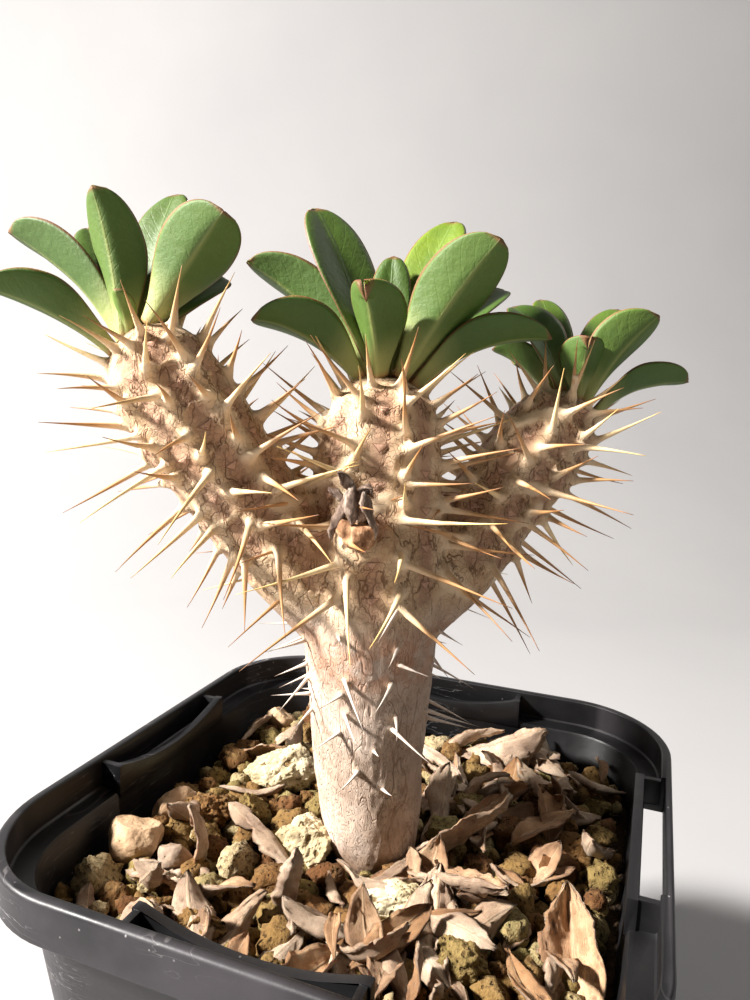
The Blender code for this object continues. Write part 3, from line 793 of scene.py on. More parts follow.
def potting_soil():
    """Dark damp potting mix under the gravel."""
    paint = Paint("soil", {"Specular IOR Level": 0.2})
    lumps = paint.noise(420.0, 4.0, 0.65)
    crumbs = paint.cells(900.0)
    spread = (0.3, 0.55, 0.75)
    skin = paint.ramp(lumps, spread, (0.012, 0.007, 0.004), (0.05, 0.028, 0.013), (0.13, 0.075, 0.032))
    skin = paint.mix(paint.step(crumbs, 0.1, 0.5) * 0.4, skin, (0.035, 0.02, 0.01))
    return paint.finish(skin, 0.85 + 0.1 * lumps, lumps * 1.4 + crumbs, 0.0004)


def pumice():
    """Pale yellow pumice, porous, with brown pits."""
    paint = Paint("pumice", {"Specular IOR Level": 0.2})
    tone = paint.attribute("tone")
    broad = paint.noise(160.0, 4.0, 0.6)
    rough = paint.noise(900.0, 4.0, 0.7)
    pores = 1.0 - paint.step(paint.cells(560.0, vector=paint.wobbled(0.0012, 500.0)), 0.16, 0.34)
    pores = pores * paint.step(paint.noise(330.0, 2.0), 0.42, 0.58)
    dots = 1.0 - paint.step(paint.cells(1300.0), 0.12, 0.3)
    spread = (0.28, 0.5, 0.72)
    skin = paint.ramp(broad, spread, (0.25, 0.19, 0.10), (0.45, 0.375, 0.235), (0.61, 0.54, 0.385))
    skin = paint.mix((1.0 - tone) * 0.6, skin, (0.42, 0.33, 0.15))
    skin = paint.mix(paint.step(rough, 0.5, 0.75) * 0.35, skin, (0.30, 0.22, 0.11))
    skin = paint.mix((pores * 0.9).larger(dots * 0.35), skin, (0.15, 0.085, 0.025))
    return paint.finish(skin, 0.85 + 0.1 * rough, rough * 0.5 - pores * 1.3 - dots * 0.4 + broad, 0.0004)


def pebble():
    """Smooth river stone in tan to grey, with a fine grain."""
    paint = Paint("pebble", {"Specular IOR Level": 0.35})
    tone = paint.attribute("tone")
    broad = paint.noise(190.0, 4.0, 0.6)
    grain = paint.noise(1500.0, 4.0, 0.7)
    skin = paint.ramp(tone, (0.0, 0.4, 1.0), (0.22, 0.18, 0.15), (0.42, 0.28, 0.17), (0.66, 0.47, 0.27))
    skin = paint.mix(paint.step(broad, 0.35, 0.7) * 0.45, skin, (0.36, 0.21, 0.10))
    skin = paint.mix(paint.step(grain, 0.5, 0.72) * 0.4, skin, (0.16, 0.095, 0.05))
    pits = 1.0 - paint.step(paint.cells(900.0), 0.06, 0.2)
    skin = paint.mix(pits * 0.5, skin, (0.10, 0.06, 0.03))
    return paint.finish(skin, 0.68 + 0.16 * grain, grain * 0.5 + broad - pits * 0.5, 0.0002)


def clay_gravel():
    """Baked clay gravel: rough crumbs from orange brown to olive yellow."""
    paint = Paint("clay_gravel", {"Specular IOR Level": 0.18})
    tone = paint.attribute("tone")
    broad = paint.noise(300.0, 4.0, 0.65)
    rough = paint.noise(1300.0, 4.0, 0.72)
    brown = (0.11, 0.045, 0.015), (0.17, 0.088, 0.028), (0.19, 0.122, 0.04)
    olive = (0.21, 0.17, 0.062), (0.42, 0.33, 0.19)
    skin = paint.ramp(tone, (0.0, 0.25, 0.5, 0.75, 1.0), *brown, *olive)
    skin = paint.mix(paint.step(broad, 0.45, 0.75) * 0.5, skin, (0.30, 0.20, 0.085))
    skin = paint.mix(paint.step(rough, 0.46, 0.66) * 0.7, skin, (0.06, 0.03, 0.012))
    pits = 1.0 - paint.step(paint.cells(1000.0, vector=paint.wobbled(0.001, 700.0)), 0.1, 0.3)
    skin = paint.mix(pits * 0.6, skin, (0.05, 0.022, 0.008))
    return paint.finish(skin, 0.86 + 0.1 * rough, rough * 0.9 + broad - pits * 0.8, 0.0006)


def dry_leaf():
    """Dead leaf: grey beige and speckled outside, warm brown inside, darker at its edge."""
    constants = {"Specular IOR Level": 0.3, "Subsurface Weight": 0.05, "Subsurface Scale": 0.0008}
    paint = Paint("dry_leaf", constants)
    along = paint.attribute("along")
    across = paint.attribute("across")
    inner = paint.step(paint.attribute("side"), -0.2, 0.2)
    tone = paint.attribute("tone")
    broad = paint.noise(150.0, 4.0, 0.6)
    stretched = {"X": along * 7.0, "Y": across * 16.0, "Z": tone * 13.0}
    fibre_place = paint.node("ShaderNodeCombineXYZ", {}, stretched)
    fibres = paint.noise(3.2, 3.0, 0.6, fibre_place)
    lines = paint.step(abs(fibres - 0.5), 0.05, 0.0)
    speckle = paint.noise(1500.0, 3.0, 0.7)
    blots = 1.0 - paint.step(paint.cells(620.0, vector=paint.wobbled(0.001, 500.0)), 0.1, 0.34)
    blots = blots * paint.step(paint.noise(210.0, 2.0), 0.45, 0.62)
    spread = (0.28, 0.5, 0.72)
    outer = paint.ramp(broad, spread, (0.20, 0.13, 0.09), (0.44, 0.325, 0.23), (0.68, 0.56, 0.43))
    warm = paint.ramp(broad, spread, (0.15, 0.065, 0.025), (0.35, 0.18, 0.075), (0.56, 0.36, 0.19))
    skin = paint.mix((inner * 0.75 + (0.5 - tone) * 0.9).larger(0.0).smaller(1.0), outer, warm)
    skin = paint.mix(lines * 0.6, skin, (0.17, 0.095, 0.055))
    skin = paint.mix(blots * 0.6, skin, (0.13, 0.07, 0.04))
    skin = paint.mix(paint.step(speckle, 0.52, 0.72) * 0.4, skin, (0.17, 0.10, 0.06))
    edge = paint.step(abs(across) + (broad - 0.5) * 0.15, 0.86, 1.0)
    skin = paint.mix(edge * 0.35, skin, (0.16, 0.08, 0.035))
    midrib = 1.0 - paint.step(abs(across), 0.02, 0.09)
    skin = paint.mix(midrib * 0.35, skin, (0.56, 0.42, 0.27))
    height = fibres * 0.8 + speckle * 0.25 + midrib * 0.5 - blots * 0.3
    return paint.finish(skin, 0.66 + 0.2 * speckle, height, 0.00022)


# Pot


def rounded_square(half, corner, height):
    """A level ring in the shape of a square with round corners."""
    ring = []
    for quarter in range(4):
        side_x = 1 if quarter in (0, 3) else -1
        side_y = 1 if quarter in (0, 1) else -1
        for step in range(CORNER_STEPS + 1):
            angle = math.radians(90.0 * (quarter + step / CORNER_STEPS))
            x = side_x * (half - corner) + corner * math.cos(angle)
            y = side_y * (half - corner) + corner * math.sin(angle)
            ring.append((x, y, height))
    return ring


def inner_half(height):
    """Half the pot's inside width at a height under the ledge."""
    rise = (height - FLOOR) / (COLLAR_BOTTOM - FLOOR)
    return (BASE_HALF - WALL) + rise * (BODY_TOP_HALF - BASE_HALF)


def inner_corner(height):
    """The pot's inside corner radius at a height under the ledge."""
    rise = (height - FLOOR) / (COLLAR_BOTTOM - FLOOR)
    top_corner = RIM_CORNER - (RIM_HALF - BODY_TOP_HALF)
    return (BASE_CORNER - WALL) + rise * (top_corner - BASE_CORNER)


def quarter_round(half, height, radius, start, steps=4):
    """Profile points of a rounded edge about the centre (half, height)."""
    made = []
    for step in range(steps + 1):
        angle = math.radians(start + 90.0 * step / steps)
        made.append((half + radius * math.cos(angle), height + radius * math.sin(angle)))
    return made


def pot_rings():
    """The pot's wall from its underside, up the outside and down the inside to its floor."""
    lip = RIM_EDGE / 2
    profile = quarter_round(BASE_HALF - RIM_EDGE, RIM_EDGE, RIM_EDGE, -90)
    profile += [(BODY_TOP_HALF - 0.1, COLLAR_BOTTOM - 0.25), (BODY_TOP_HALF + 0.15, COLLAR_BOTTOM)]
    profile += quarter_round(RIM_HALF - lip, COLLAR_BOTTOM + lip, lip, -90)
    profile += quarter_round(RIM_HALF - RIM_EDGE, RIM_HEIGHT - RIM_EDGE, RIM_EDGE, 0)
    profile += quarter_round(RIM_HALF - RIM_WALL + lip, RIM_HEIGHT - lip, lip, 90)
    profile += [(RIM_HALF - RIM_WALL, LEDGE_HEIGHT + 0.3), (RIM_HALF - RIM_WALL - 0.3, LEDGE_HEIGHT)]
    profile += [(BODY_TOP_HALF - WALL + 0.3, LEDGE_HEIGHT - 0.2), (BODY_TOP_HALF - WALL, LEDGE_HEIGHT - 0.6)]
    rings = []
    for half, height in profile:
        if height < COLLAR_BOTTOM / 2:
            corner = BASE_CORNER - (BASE_HALF - half)
        else:
            corner = RIM_CORNER - (RIM_HALF - half)
        rings.append(rounded_square(half, corner, height))
    rings.append(rounded_square(inner_half(FLOOR), inner_corner(FLOOR), FLOOR))
    return rings


def prism(outline, direction):
    """A flat outline drawn out along a direction."""
    shape = bmesh.new()
    face = shape.faces.new([shape.verts.new(point) for point in outline])
    drawn = bmesh.ops.extrude_face_region(shape, geom=[face])
    moved = [item for item in drawn["geom"] if isinstance(item, bmesh.types.BMVert)]
    bmesh.ops.translate(shape, vec=direction, verts=moved)
    bmesh.ops.recalc_face_normals(shape, faces=shape.faces)
    return shape


def block(low, high):
    """A box between two corners."""
    low, high = Vector(low), Vector(high)
    shape = bmesh.new()
    place = Matrix.Translation((low + high) / 2) @ Matrix.Diagonal((*(high - low), 1.0))
    bmesh.ops.create_cube(shape, size=1.0, matrix=place)
    return shape


def turned(shape, degrees):
    """Turns a shape about the pot's middle."""
    spin = Matrix.Rotation(math.radians(degrees), 3, "Z")
    bmesh.ops.rotate(shape, cent=(0, 0, 0), matrix=spin, verts=shape.verts)
    return shape


def end_rib(start, top):
    """A short rib from an inner wall out into the collar, on the +X side."""
    low = (INNER_WALL_FACE + INNER_WALL / 2, start, COLLAR_BOTTOM + 0.4)
    high = (RIM_HALF - RIM_WALL / 2, start + RIB, top)
    return block(low, high)


def dipped_wall():
    """A raised inner wall whose top edge sags in the middle, with its two end ribs, on the +X side."""
    start = POCKET_SHIFT - POCKET_HALF
    end = POCKET_SHIFT + POCKET_HALF
    span = POCKET_HALF - RIB
    foot = COLLAR_BOTTOM + 0.2
    steps = 24
    outline = [(start, foot), (end, foot), (end, POCKET_TOP)]
    for step in range(steps + 1):
        across = 1 - 2 * step / steps
        outline.append((POCKET_SHIFT + span * across, POCKET_TOP - POCKET_DIP * (1 - across**2)))
    outline.append((start, POCKET_TOP))
    wall = prism([(INNER_WALL_FACE, y, z) for y, z in outline], (INNER_WALL, 0, 0))
    return [wall, end_rib(start + 0.3 * RIB, POCKET_TOP - 0.1), end_rib(end - 1.3 * RIB, POCKET_TOP - 0.1)]


def label_rail():
    """The straight inner wall of the label slot with its end ribs."""
    low = (INNER_WALL_FACE, RAIL_START, COLLAR_BOTTOM + 0.2)
    high = (INNER_WALL_FACE + INNER_WALL, RAIL_END, RAIL_TOP)
    return [
        block(low, high),
        end_rib(RAIL_START + 0.3 * RIB, RAIL_TOP - 0.1),
        end_rib(RAIL_END - 1.3 * RIB, RAIL_TOP - 0.1),
    ]


def combine(target, shapes, operation):
    """Joins or cuts a target with a list of shapes."""
    tools = bpy.data.collections.new(operation.lower())
    bpy.context.scene.collection.children.link(tools)
    for shape in shapes:
        made = add_object(shape, f"{operation.lower()}_tool", smooth=False)
        bpy.context.scene.collection.objects.unlink(made)
        tools.objects.link(made)
    step = target.modifiers.new(operation.title(), "BOOLEAN")
    step.operation = operation
    step.operand_type = "COLLECTION"
    step.collection = tools
    step.solver = "EXACT"
    made = baked(target, target.name)
    bpy.data.objects.remove(target, do_unlink=True)
    for tool in list(tools.objects):
        bpy.data.objects.remove(tool, do_unlink=True)
    bpy.data.collections.remove(tools)
    return made


def build_pot(material):
    """The square nursery pot with its raised inner walls, label slot and drain holes."""
    pot = add_object(loft(pot_rings()), "pot_blank", material)
    walls = [turned(shape, degrees) for degrees in (90, 180, 270) for shape in dipped_wall()]
    pot = combine(pot, walls + label_rail(), "UNION")
    slot_low = (SLOT_FACE, RAIL_START + 1.4 * RIB, LEDGE_HEIGHT - 12)
    slot_high = (SLOT_FACE + SLOT_WIDTH, RAIL_END - 1.4 * RIB, RIM_HEIGHT + 8)
    cuts = [block(slot_low, slot_high)]
    for x in (-DRAIN_OFFSET, DRAIN_OFFSET):
        for y in (-DRAIN_OFFSET, DRAIN_OFFSET):
            hole = bmesh.new()
            place = Matrix.Translation((x, y, FLOOR / 2))
            size = {"radius1": DRAIN_RADIUS, "radius2": DRAIN_RADIUS, "depth": 5 * WALL}
            bmesh.ops.create_cone(hole, cap_ends=True, segments=40, matrix=place, **size)
            cuts.append(hole)
    pot = combine(pot, cuts, "DIFFERENCE")
    edges = pot.modifiers.new("Edges", "BEVEL")
    edges.width = EDGE_ROUNDING * MM
    edges.segments = 2
    edges.limit_method = "ANGLE"
    edges.angle_limit = math.radians(50)
    made = baked(pot, "black_pot")
    bpy.data.objects.remove(pot, do_unlink=True)
    made.data.shade_smooth()
    made.data.set_sharp_from_angle(angle=math.radians(38))
    # Marks the outer faces; the inner faces get the painted shade in black_plastic.
    points = points_of(made.data)
    reach = np.maximum(np.abs(points[:, 0]), np.abs(points[:, 1]))
    wall = BASE_HALF + (BODY_TOP_HALF - BASE_HALF) * points[:, 2] / COLLAR_BOTTOM
    wall = np.where(points[:, 2] > COLLAR_BOTTOM, RIM_HALF, wall)
    corner = np.minimum(np.abs(points[:, 0]), np.abs(points[:, 1])) > reach - 0.6 * RIM_CORNER
    outside = np.where(corner, np.hypot(points[:, 0], points[:, 1]) > wall * 1.15, reach > wall - 0.8)
    set_numbers(made.data, "outside", outside.astype(float))
    piece(made, "black_plastic", "pot")


def held_in(made, low=None):
    """Pushes the points of a loose thing back inside the pot, clear of the wall and the soil."""
    points = points_of(made.data)
    half = inner_half(SOIL_TOP) - WALL_GAP
    corner = inner_corner(SOIL_TOP)
    core = half - corner
    flat = np.clip(points[:, :2], -half, half)
    away = np.maximum(np.abs(flat) - core, 0.0)
    reach = np.linalg.norm(away, axis=1)
    pull = np.minimum(1.0, corner / np.maximum(reach, 0.001))[:, None]
    points[:, :2] = np.where(away > 0, np.sign(flat) * (core + away * pull), flat)
    if low is not None:
        points[:, 2] = np.maximum(points[:, 2], low + 0.15 * (points[:, 2] - low))
    made.data.vertices.foreach_set("co", (points * MM).ravel())


# Soil and gravel


def build_soil(material):
    """The potting mix that fills the pot, a lumpy top over a plain body."""
    rings = []
    for height in (FLOOR + SOIL_GAP, SOIL_TOP - 3.0, SOIL_TOP):
        rings.append(rounded_square(inner_half(height) - SOIL_GAP, inner_corner(height) - SOIL_GAP, height))
    edge = inner_half(SOIL_TOP)
    for i in range(1, 26):
        share = 1.0 - i / 26
        rings.append(rounded_square(edge * share, 14.0 * share, SOIL_TOP))
    shape = loft(rings)
    for vert in shape.verts:
        if vert.co.z > SOIL_TOP - 0.5 and max(abs(vert.co.x), abs(vert.co.y)) < edge - 1.0:
            vert.co.z += 0.9 * noise.fractal(vert.co * 0.35, 1.0, 2.0, 3) - 0.3
    piece(add_object(shape, "soil_bed_mix", material), "soil", "soil_bed")


def lump(shape, centre, size, spin, rough, seed, detail=3):
    """Adds one stone to a mesh: a sphere pushed about by noise and flattened here and there."""
    made = bmesh.ops.create_icosphere(shape, subdivisions=detail, radius=1.0)["verts"]
    rng = random.Random(seed)
    drift = drawn(rng.uniform, -50, 50)
    cuts = [drawn(rng.gauss, 0, 1).normalized() for _ in range(5)]
    depths = [rng.uniform(0.5, 0.92) for _ in cuts]
    for vert in made:
        point = vert.co.copy()
        for cut, depth in zip(cuts, depths):
            over = point.dot(cut) - depth
            if over > 0:
                point -= cut * over * 0.85
        broad = noise.noise(vert.co * 1.3 + drift)
        fine = noise.fractal(vert.co * 3.4 + drift, 0.9, 2.1, 4)
        vert.co = point * (1.0 + (0.24 * broad + rough * fine))
    place = Matrix.Translation(centre) @ spin.to_4x4() @ Matrix.Diagonal((*(Vector(size) / 2), 1.0))
    bmesh.ops.transform(shape, matrix=place, verts=made)
    return made


def crumb(name, rough, seed):
    """A small grain of about one unit across, used many times over."""
    shape = bmesh.new()
    lump(shape, (0, 0, 0), (1.0, 0.9, 0.8), Matrix.Identity(3), rough, seed, 2)
    made = add_object(shape, name)
    made.data.transform(Matrix.Scale(1.0 / MM, 4))
    return made


def gravel_bed(crumbs, material):
    """The close layer of small clay grains, scattered over the soil by Geometry Nodes."""
    shape = bmesh.new()
    edge = inner_half(SOIL_TOP) - 1.6
    bmesh.ops.create_grid(shape, x_segments=40, y_segments=40, size=edge)
    foot = Vector(TRUNK[2][:2])
    gone = []
    for face in shape.faces:
        middle = face.calc_center_median()
        near = (middle.xy - foot).length < TRUNK[2][3] + 1.6
        corner = abs(middle.x) + abs(middle.y) > 2 * edge - 5.0
        if near or corner:
            gone.append(face)
    bmesh.ops.delete(shape, geom=gone, context="FACES")
    bmesh.ops.translate(shape, vec=(0, 0, SOIL_TOP + 0.6), verts=shape.verts)
    base = add_object(shape, "gravel_ground")

    home = bpy.data.collections.new("crumbs")
    for made in crumbs:
        bpy.context.scene.collection.objects.unlink(made)
        home.objects.link(made)

    tree = Growth("gravel_bed")
    gap = tree.input("Least gap", "NodeSocketFloat", 0.003)
    small = tree.input("Smallest grain", "NodeSocketFloat", 0.003)
    large = tree.input("Largest grain", "NodeSocketFloat", 0.005)
    jitter = tree.input("Uneven height", "NodeSocketFloat", 0.001)
    settings = {"distribute_method": "POISSON"}
    spread = {"Mesh": tree.geometry, "Distance Min": gap, "Density Max": GRAVEL_DENSITY, "Seed": 11}
    points = tree.node("GeometryNodeDistributePointsOnFaces", settings, spread, "Points")
    rise = tree.random(0.0, 1.0, 3)
    tall = tree.number("ShaderNodeMath", {"operation": "MULTIPLY"}, {0: rise, 1: jitter})
    offset = tree.node("ShaderNodeCombineXYZ", {}, {"Z": tall})
    lifted = tree.node("GeometryNodeSetPosition", {}, {"Geometry": points, "Offset": offset})
    toned = tree.keep(lifted, "tone", tree.random(0.0, 1.0, 7))
    turns = tree.random((0.0, 0.0, 0.0), (6.28, 6.28, 6.28), 5, "FLOAT_VECTOR")
    sizes = tree.random(small, large, 9)
    inputs = {"Collection": home, "Separate Children": True, "Reset Children": True}
    kinds = tree.node("GeometryNodeCollectionInfo", {}, inputs)
    tree.finish(tree.place_on(toned, kinds, turns, sizes, True), material)
    made = tree.grow(base, "gravel_bed", {name: value * MM for name, value in GRAVEL_BED.items()})
    for part in crumbs:
        bpy.data.objects.remove(part, do_unlink=True)
    bpy.data.collections.remove(home)
    held_in(made)
    piece(made, "clay_gravel")


def clear_of(place, radius, others):
    """Whether a round thing fits between the ones that are already placed."""
    return all(math.hypot(place[0] - x, place[1] - y) > radius + r for x, y, r in others)


def loose_gravel(material):
    """Bigger grains lying on the bed, each one of its own shape."""
    rng = random.Random(21)
    taken = [(x, y, (size[0] + size[1]) / 4 - 0.5) for _, _, (x, y, _), size, _, _ in STONES]
    taken.append((TRUNK[2][0], TRUNK[2][1], TRUNK[2][3] + 0.8))
    shape = bmesh.new()
    tones = []
    edge = inner_half(SOIL_TOP) - 3.0
    for attempt in range(LOOSE_TRIES):
        x, y = rng.uniform(-edge, edge), rng.uniform(-edge, edge)
        across = rng.uniform(4.4, 7.6) * (1.0 if attempt < LARGE_TRIES else SMALL_SHARE)
        if abs(x) + abs(y) > 2 * edge - 6.0 or not clear_of((x, y), across * LOOSE_SPACE, taken):
            continue
        taken.append((x, y, across * LOOSE_SPACE))
        spin = Matrix.Rotation(rng.uniform(0, 6.28), 3, "Z") @ Matrix.Rotation(rng.uniform(-0.5, 0.5), 3, "X")
        size = (across, across * rng.uniform(0.75, 1.0), across * rng.uniform(0.65, 0.9))
        height = SOIL_TOP + rng.uniform(2.0, 3.4)
        tone = min(max(rng.gauss(0.4, 0.3), 0.0), 1.0)
        made = lump(shape, (x, y, height), size, spin, 0.3, 500 + attempt, 3)
        tones += [tone] * len(made)
        if len(tones) > LOOSE_POINTS:
            break
    made = add_object(shape, "loose_gravel", material)
    set_numbers(made.data, "tone", tones)
    held_in(made)
    piece(made, "clay_gravel")


def build_stones(finishes):
    """The pumice lumps, pebbles and clay lumps that lie on top."""
    slots = {"pumice": "pumice", "stone": "pebble", "gravel": "clay_gravel"}
    roughness = {"pumice": 0.13, "stone": 0.035, "gravel": 0.2}
    for number, (name, kind, centre, size, degrees, tone) in enumerate(STONES):
        shape = bmesh.new()
        spin = Matrix.Rotation(math.radians(degrees), 3, "Z")
        lump(shape, centre, size, spin, roughness[kind], 40 + number, 6 if size[0] > 7.5 else 5)
        made = add_object(shape, f"{name}_stone", finishes[kind])
        set_numbers(made.data, "tone", [tone] * len(made.data.vertices))
        held_in(made)
        piece(made, slots[kind], name)


# Stem


class Limb:
    """A grown limb along a smooth curve, asked for by height."""

    def __init__(self, stations):
        self.samples = np.array(curve_through(stations, 12 * len(stations)))

    def at(self, height):
        """Middle, direction and radius at a height."""
        heights = self.samples[:, 2]
        middle = Vector([float(np.interp(height, heights, self.samples[:, k])) for k in (0, 1)] + [height])
        ahead = [float(np.interp(height + 0.6, heights, self.samples[:, k])) for k in (0, 1, 2)]
        behind = [float(np.interp(height - 0.6, heights, self.samples[:, k])) for k in (0, 1, 2)]
        radius = float(np.interp(height, heights, self.samples[:, 3]))
        return middle, (Vector(ahead) - Vector(behind)).normalized(), radius

    def out(self, height, azimuth):
        """The unit vector that points out of the limb at a turn."""
        direction = self.at(height)[1]
        level = heading(azimuth, 0.0)
        return (level - direction * level.dot(direction)).normalized()


def round_about(sides):
    """The cosine and sine of each turn of a ring."""
    angles = [2 * math.pi * side / sides for side in range(sides)]
    return [(math.cos(angle), math.sin(angle)) for angle in angles]


def limb_shape(stations, sides=48):
    """A limb as a round tube."""
    limb = [[float(value) for value in station] for station in curve_through(stations, 4 * len(stations))]
    rings = []
    for i, (x, y, z, radius) in enumerate(limb):
        ahead = Vector(limb[min(i + 1, len(limb) - 1)][:3])
        behind = Vector(limb[max(i - 1, 0)][:3])
        direction = (ahead - behind).normalized()
        across = (Vector((1.0, 0.0, 0.0)) - direction * direction.x).normalized()
        over = direction.cross(across).normalized()
        middle = Vector((x, y, z))
        spokes = [across * cosine + over * sine for cosine, sine in round_about(sides)]
        rings.append([middle + max(radius, 0.3) * spoke for spoke in spokes])
    return loft(rings)


def swelling(point, direction, length, radius):
    """The swollen foot of a spine, which grows out of the bark."""
    quat = direction.to_track_quat("Z", "X").to_matrix().to_4x4()
    place = Matrix.Translation(point) @ quat
    rings = []
    for share in (0.0, 0.3, 0.5, 0.68, 0.84, 1.0):
        reach = -SPINE_SUNK + share * (length + SPINE_SUNK)
        size = radius * (0.34 + 1.1 * (1.0 - share) ** 1.9)
        rings.append([place @ Vector((size * x, size * y, reach)) for x, y in round_about(10)])
    return loft(rings)


def spine_plan(limbs):
    """Every spine (foot, aim, length, old) and every leaf scar (middle, up, side)."""
    rng = random.Random(3)
    spines = []
    scars = []
    plans = [(head, *plan, False) for head, plan in HEADS.items()] + [("centre", *OLD_SPINES, True)]
    for head, low, high, first, length, old in plans:
        limb = limbs[head]
        for rank in range(RANKS):
            azimuth = FACING + first + 360.0 * rank / RANKS
            height = low + SCAR_SPACING * (rank * 3 % RANKS) / RANKS
            while height < high:
                rise = (height - low) / (high - low)
                middle, direction, radius = limb.at(height)
                out = limb.out(height, azimuth)
                side = direction.cross(out)
                if not old:
                    scars.append((middle + out * radius, direction, side))
                for hand in (-1, 1):
                    if old and rng.random() > OLD_SPINE_SHARE:
                        continue
                    turn = azimuth + hand * SPINE_ASIDE + rng.uniform(-3, 3)
                    level = height + rng.uniform(-0.84, 0.84)
                    middle, direction, radius = limb.at(level)
                    foot_out = limb.out(level, turn)
                    aim = limb.out(level, turn + hand * (SPINE_SPLAY + rng.uniform(-14, 14)))
                    if old:
                        lift = -0.35 + rng.uniform(-0.3, 0.3)
                        size = length * rng.uniform(0.45, 1.15)
                    else:
                        lift = -0.5 + 1.25 * rise + rng.uniform(-0.22, 0.22)
                        size = length * (1.0 - 0.35 * rise) * rng.uniform(0.72, 1.2)
                    aim = (aim + direction * lift).normalized()
                    foot = middle + foot_out * radius
                    if aim.x < 0:
                        size = min(size, (foot.x - SPINE_LIMIT) / -aim.x)
                    spines.append((foot, aim, size, float(old)))
                height += SCAR_SPACING
    for head, limb in limbs.items():
        for number in range(CROWN_SPINES):
            level = LIMBS[head][-2][2] - 0.4
            middle, direction, radius = limb.at(level)
            out = limb.out(level, FACING + 25 + 360 * number / CROWN_SPINES + rng.uniform(-8, 8))
            aim = (0.8 * out + (0.85 + rng.uniform(-0.2, 0.2)) * direction).normalized()
            spines.append((middle + out * radius, aim, rng.uniform(7.5, 11.0), 0.0))
    for height, turn, length in STRAY_SPINES:
        middle, direction, radius = limbs["centre"].at(height)
        out = limbs["centre"].out(height, FACING + turn)
        aim = (out + 0.5 * direction.cross(out) * math.copysign(1, turn) - 0.4 * direction).normalized()
        spines.append((middle + out * radius, aim, length, 1.0))
    return spines, scars


def nearest_limb(points, limbs):
    """The number of the limb that each point belongs to."""
    best = np.full(len(points), 1e9)
    which = np.zeros(len(points), dtype=int)
    for number, limb in enumerate(limbs):
        for sample in limb.samples[::2]:
            gap = np.linalg.norm(points - sample[:3], axis=1) - sample[3]
            closer = gap < best
            best[closer] = gap[closer]
            which[closer] = number
    return which


def scar_places(points, scars):
    """How far each point lies across, up and away from its nearest leaf scar."""
    across = np.full(len(points), FAR_AWAY)
    along = np.full(len(points), FAR_AWAY)
    near = np.full(len(points), FAR_AWAY)
    for middle, up, side in scars:
        away = points - np.array(middle)
        distance = np.linalg.norm(away, axis=1)
        close = distance < near
        near[close] = distance[close]
        across[close] = away[close] @ np.array(side)
        along[close] = away[close] @ np.array(up)
    far = near > SCAR_REACH
    across[far] = FAR_AWAY
    along[far] = FAR_AWAY
    return across, along, near


def swollen_share(points, spines):
    """How much of a spine's swollen foot each point is, from 0 to 1."""
    swollen = np.zeros(len(points))
    for foot, aim, _, old in spines:
        away = points - np.array(foot)
        forward = away @ np.array(aim)
        aside = np.linalg.norm(away - np.outer(forward, np.array(aim)), axis=1)
        reach = (1.0 - smoothstep(0.6, 1.6, aside)) * smoothstep(-0.6, 1.0, forward)
        swollen = np.maximum(swollen, reach * (1.0 if not old else 0.5))
    return swollen


def bark_relief(points, head):
    """How far the bark stands out at each point: tall wrinkles on the trunk, a net on the heads."""
    push = np.zeros(len(points))
    for i, point in enumerate(points):
        place = Vector(point)
        tall = Vector((place.x * 1.5, place.y * 1.5, place.z * 0.35))
        wrinkle = noise.fractal(tall, 0.8, 2.0, 3)
        swell = noise.noise(place * 0.16)
        net = noise.fractal(place * 0.9, 0.8, 2.1, 3)
        push[i] = 0.30 * swell + (1 - head[i]) * 0.10 * wrinkle + head[i] * 0.12 * net
    return push


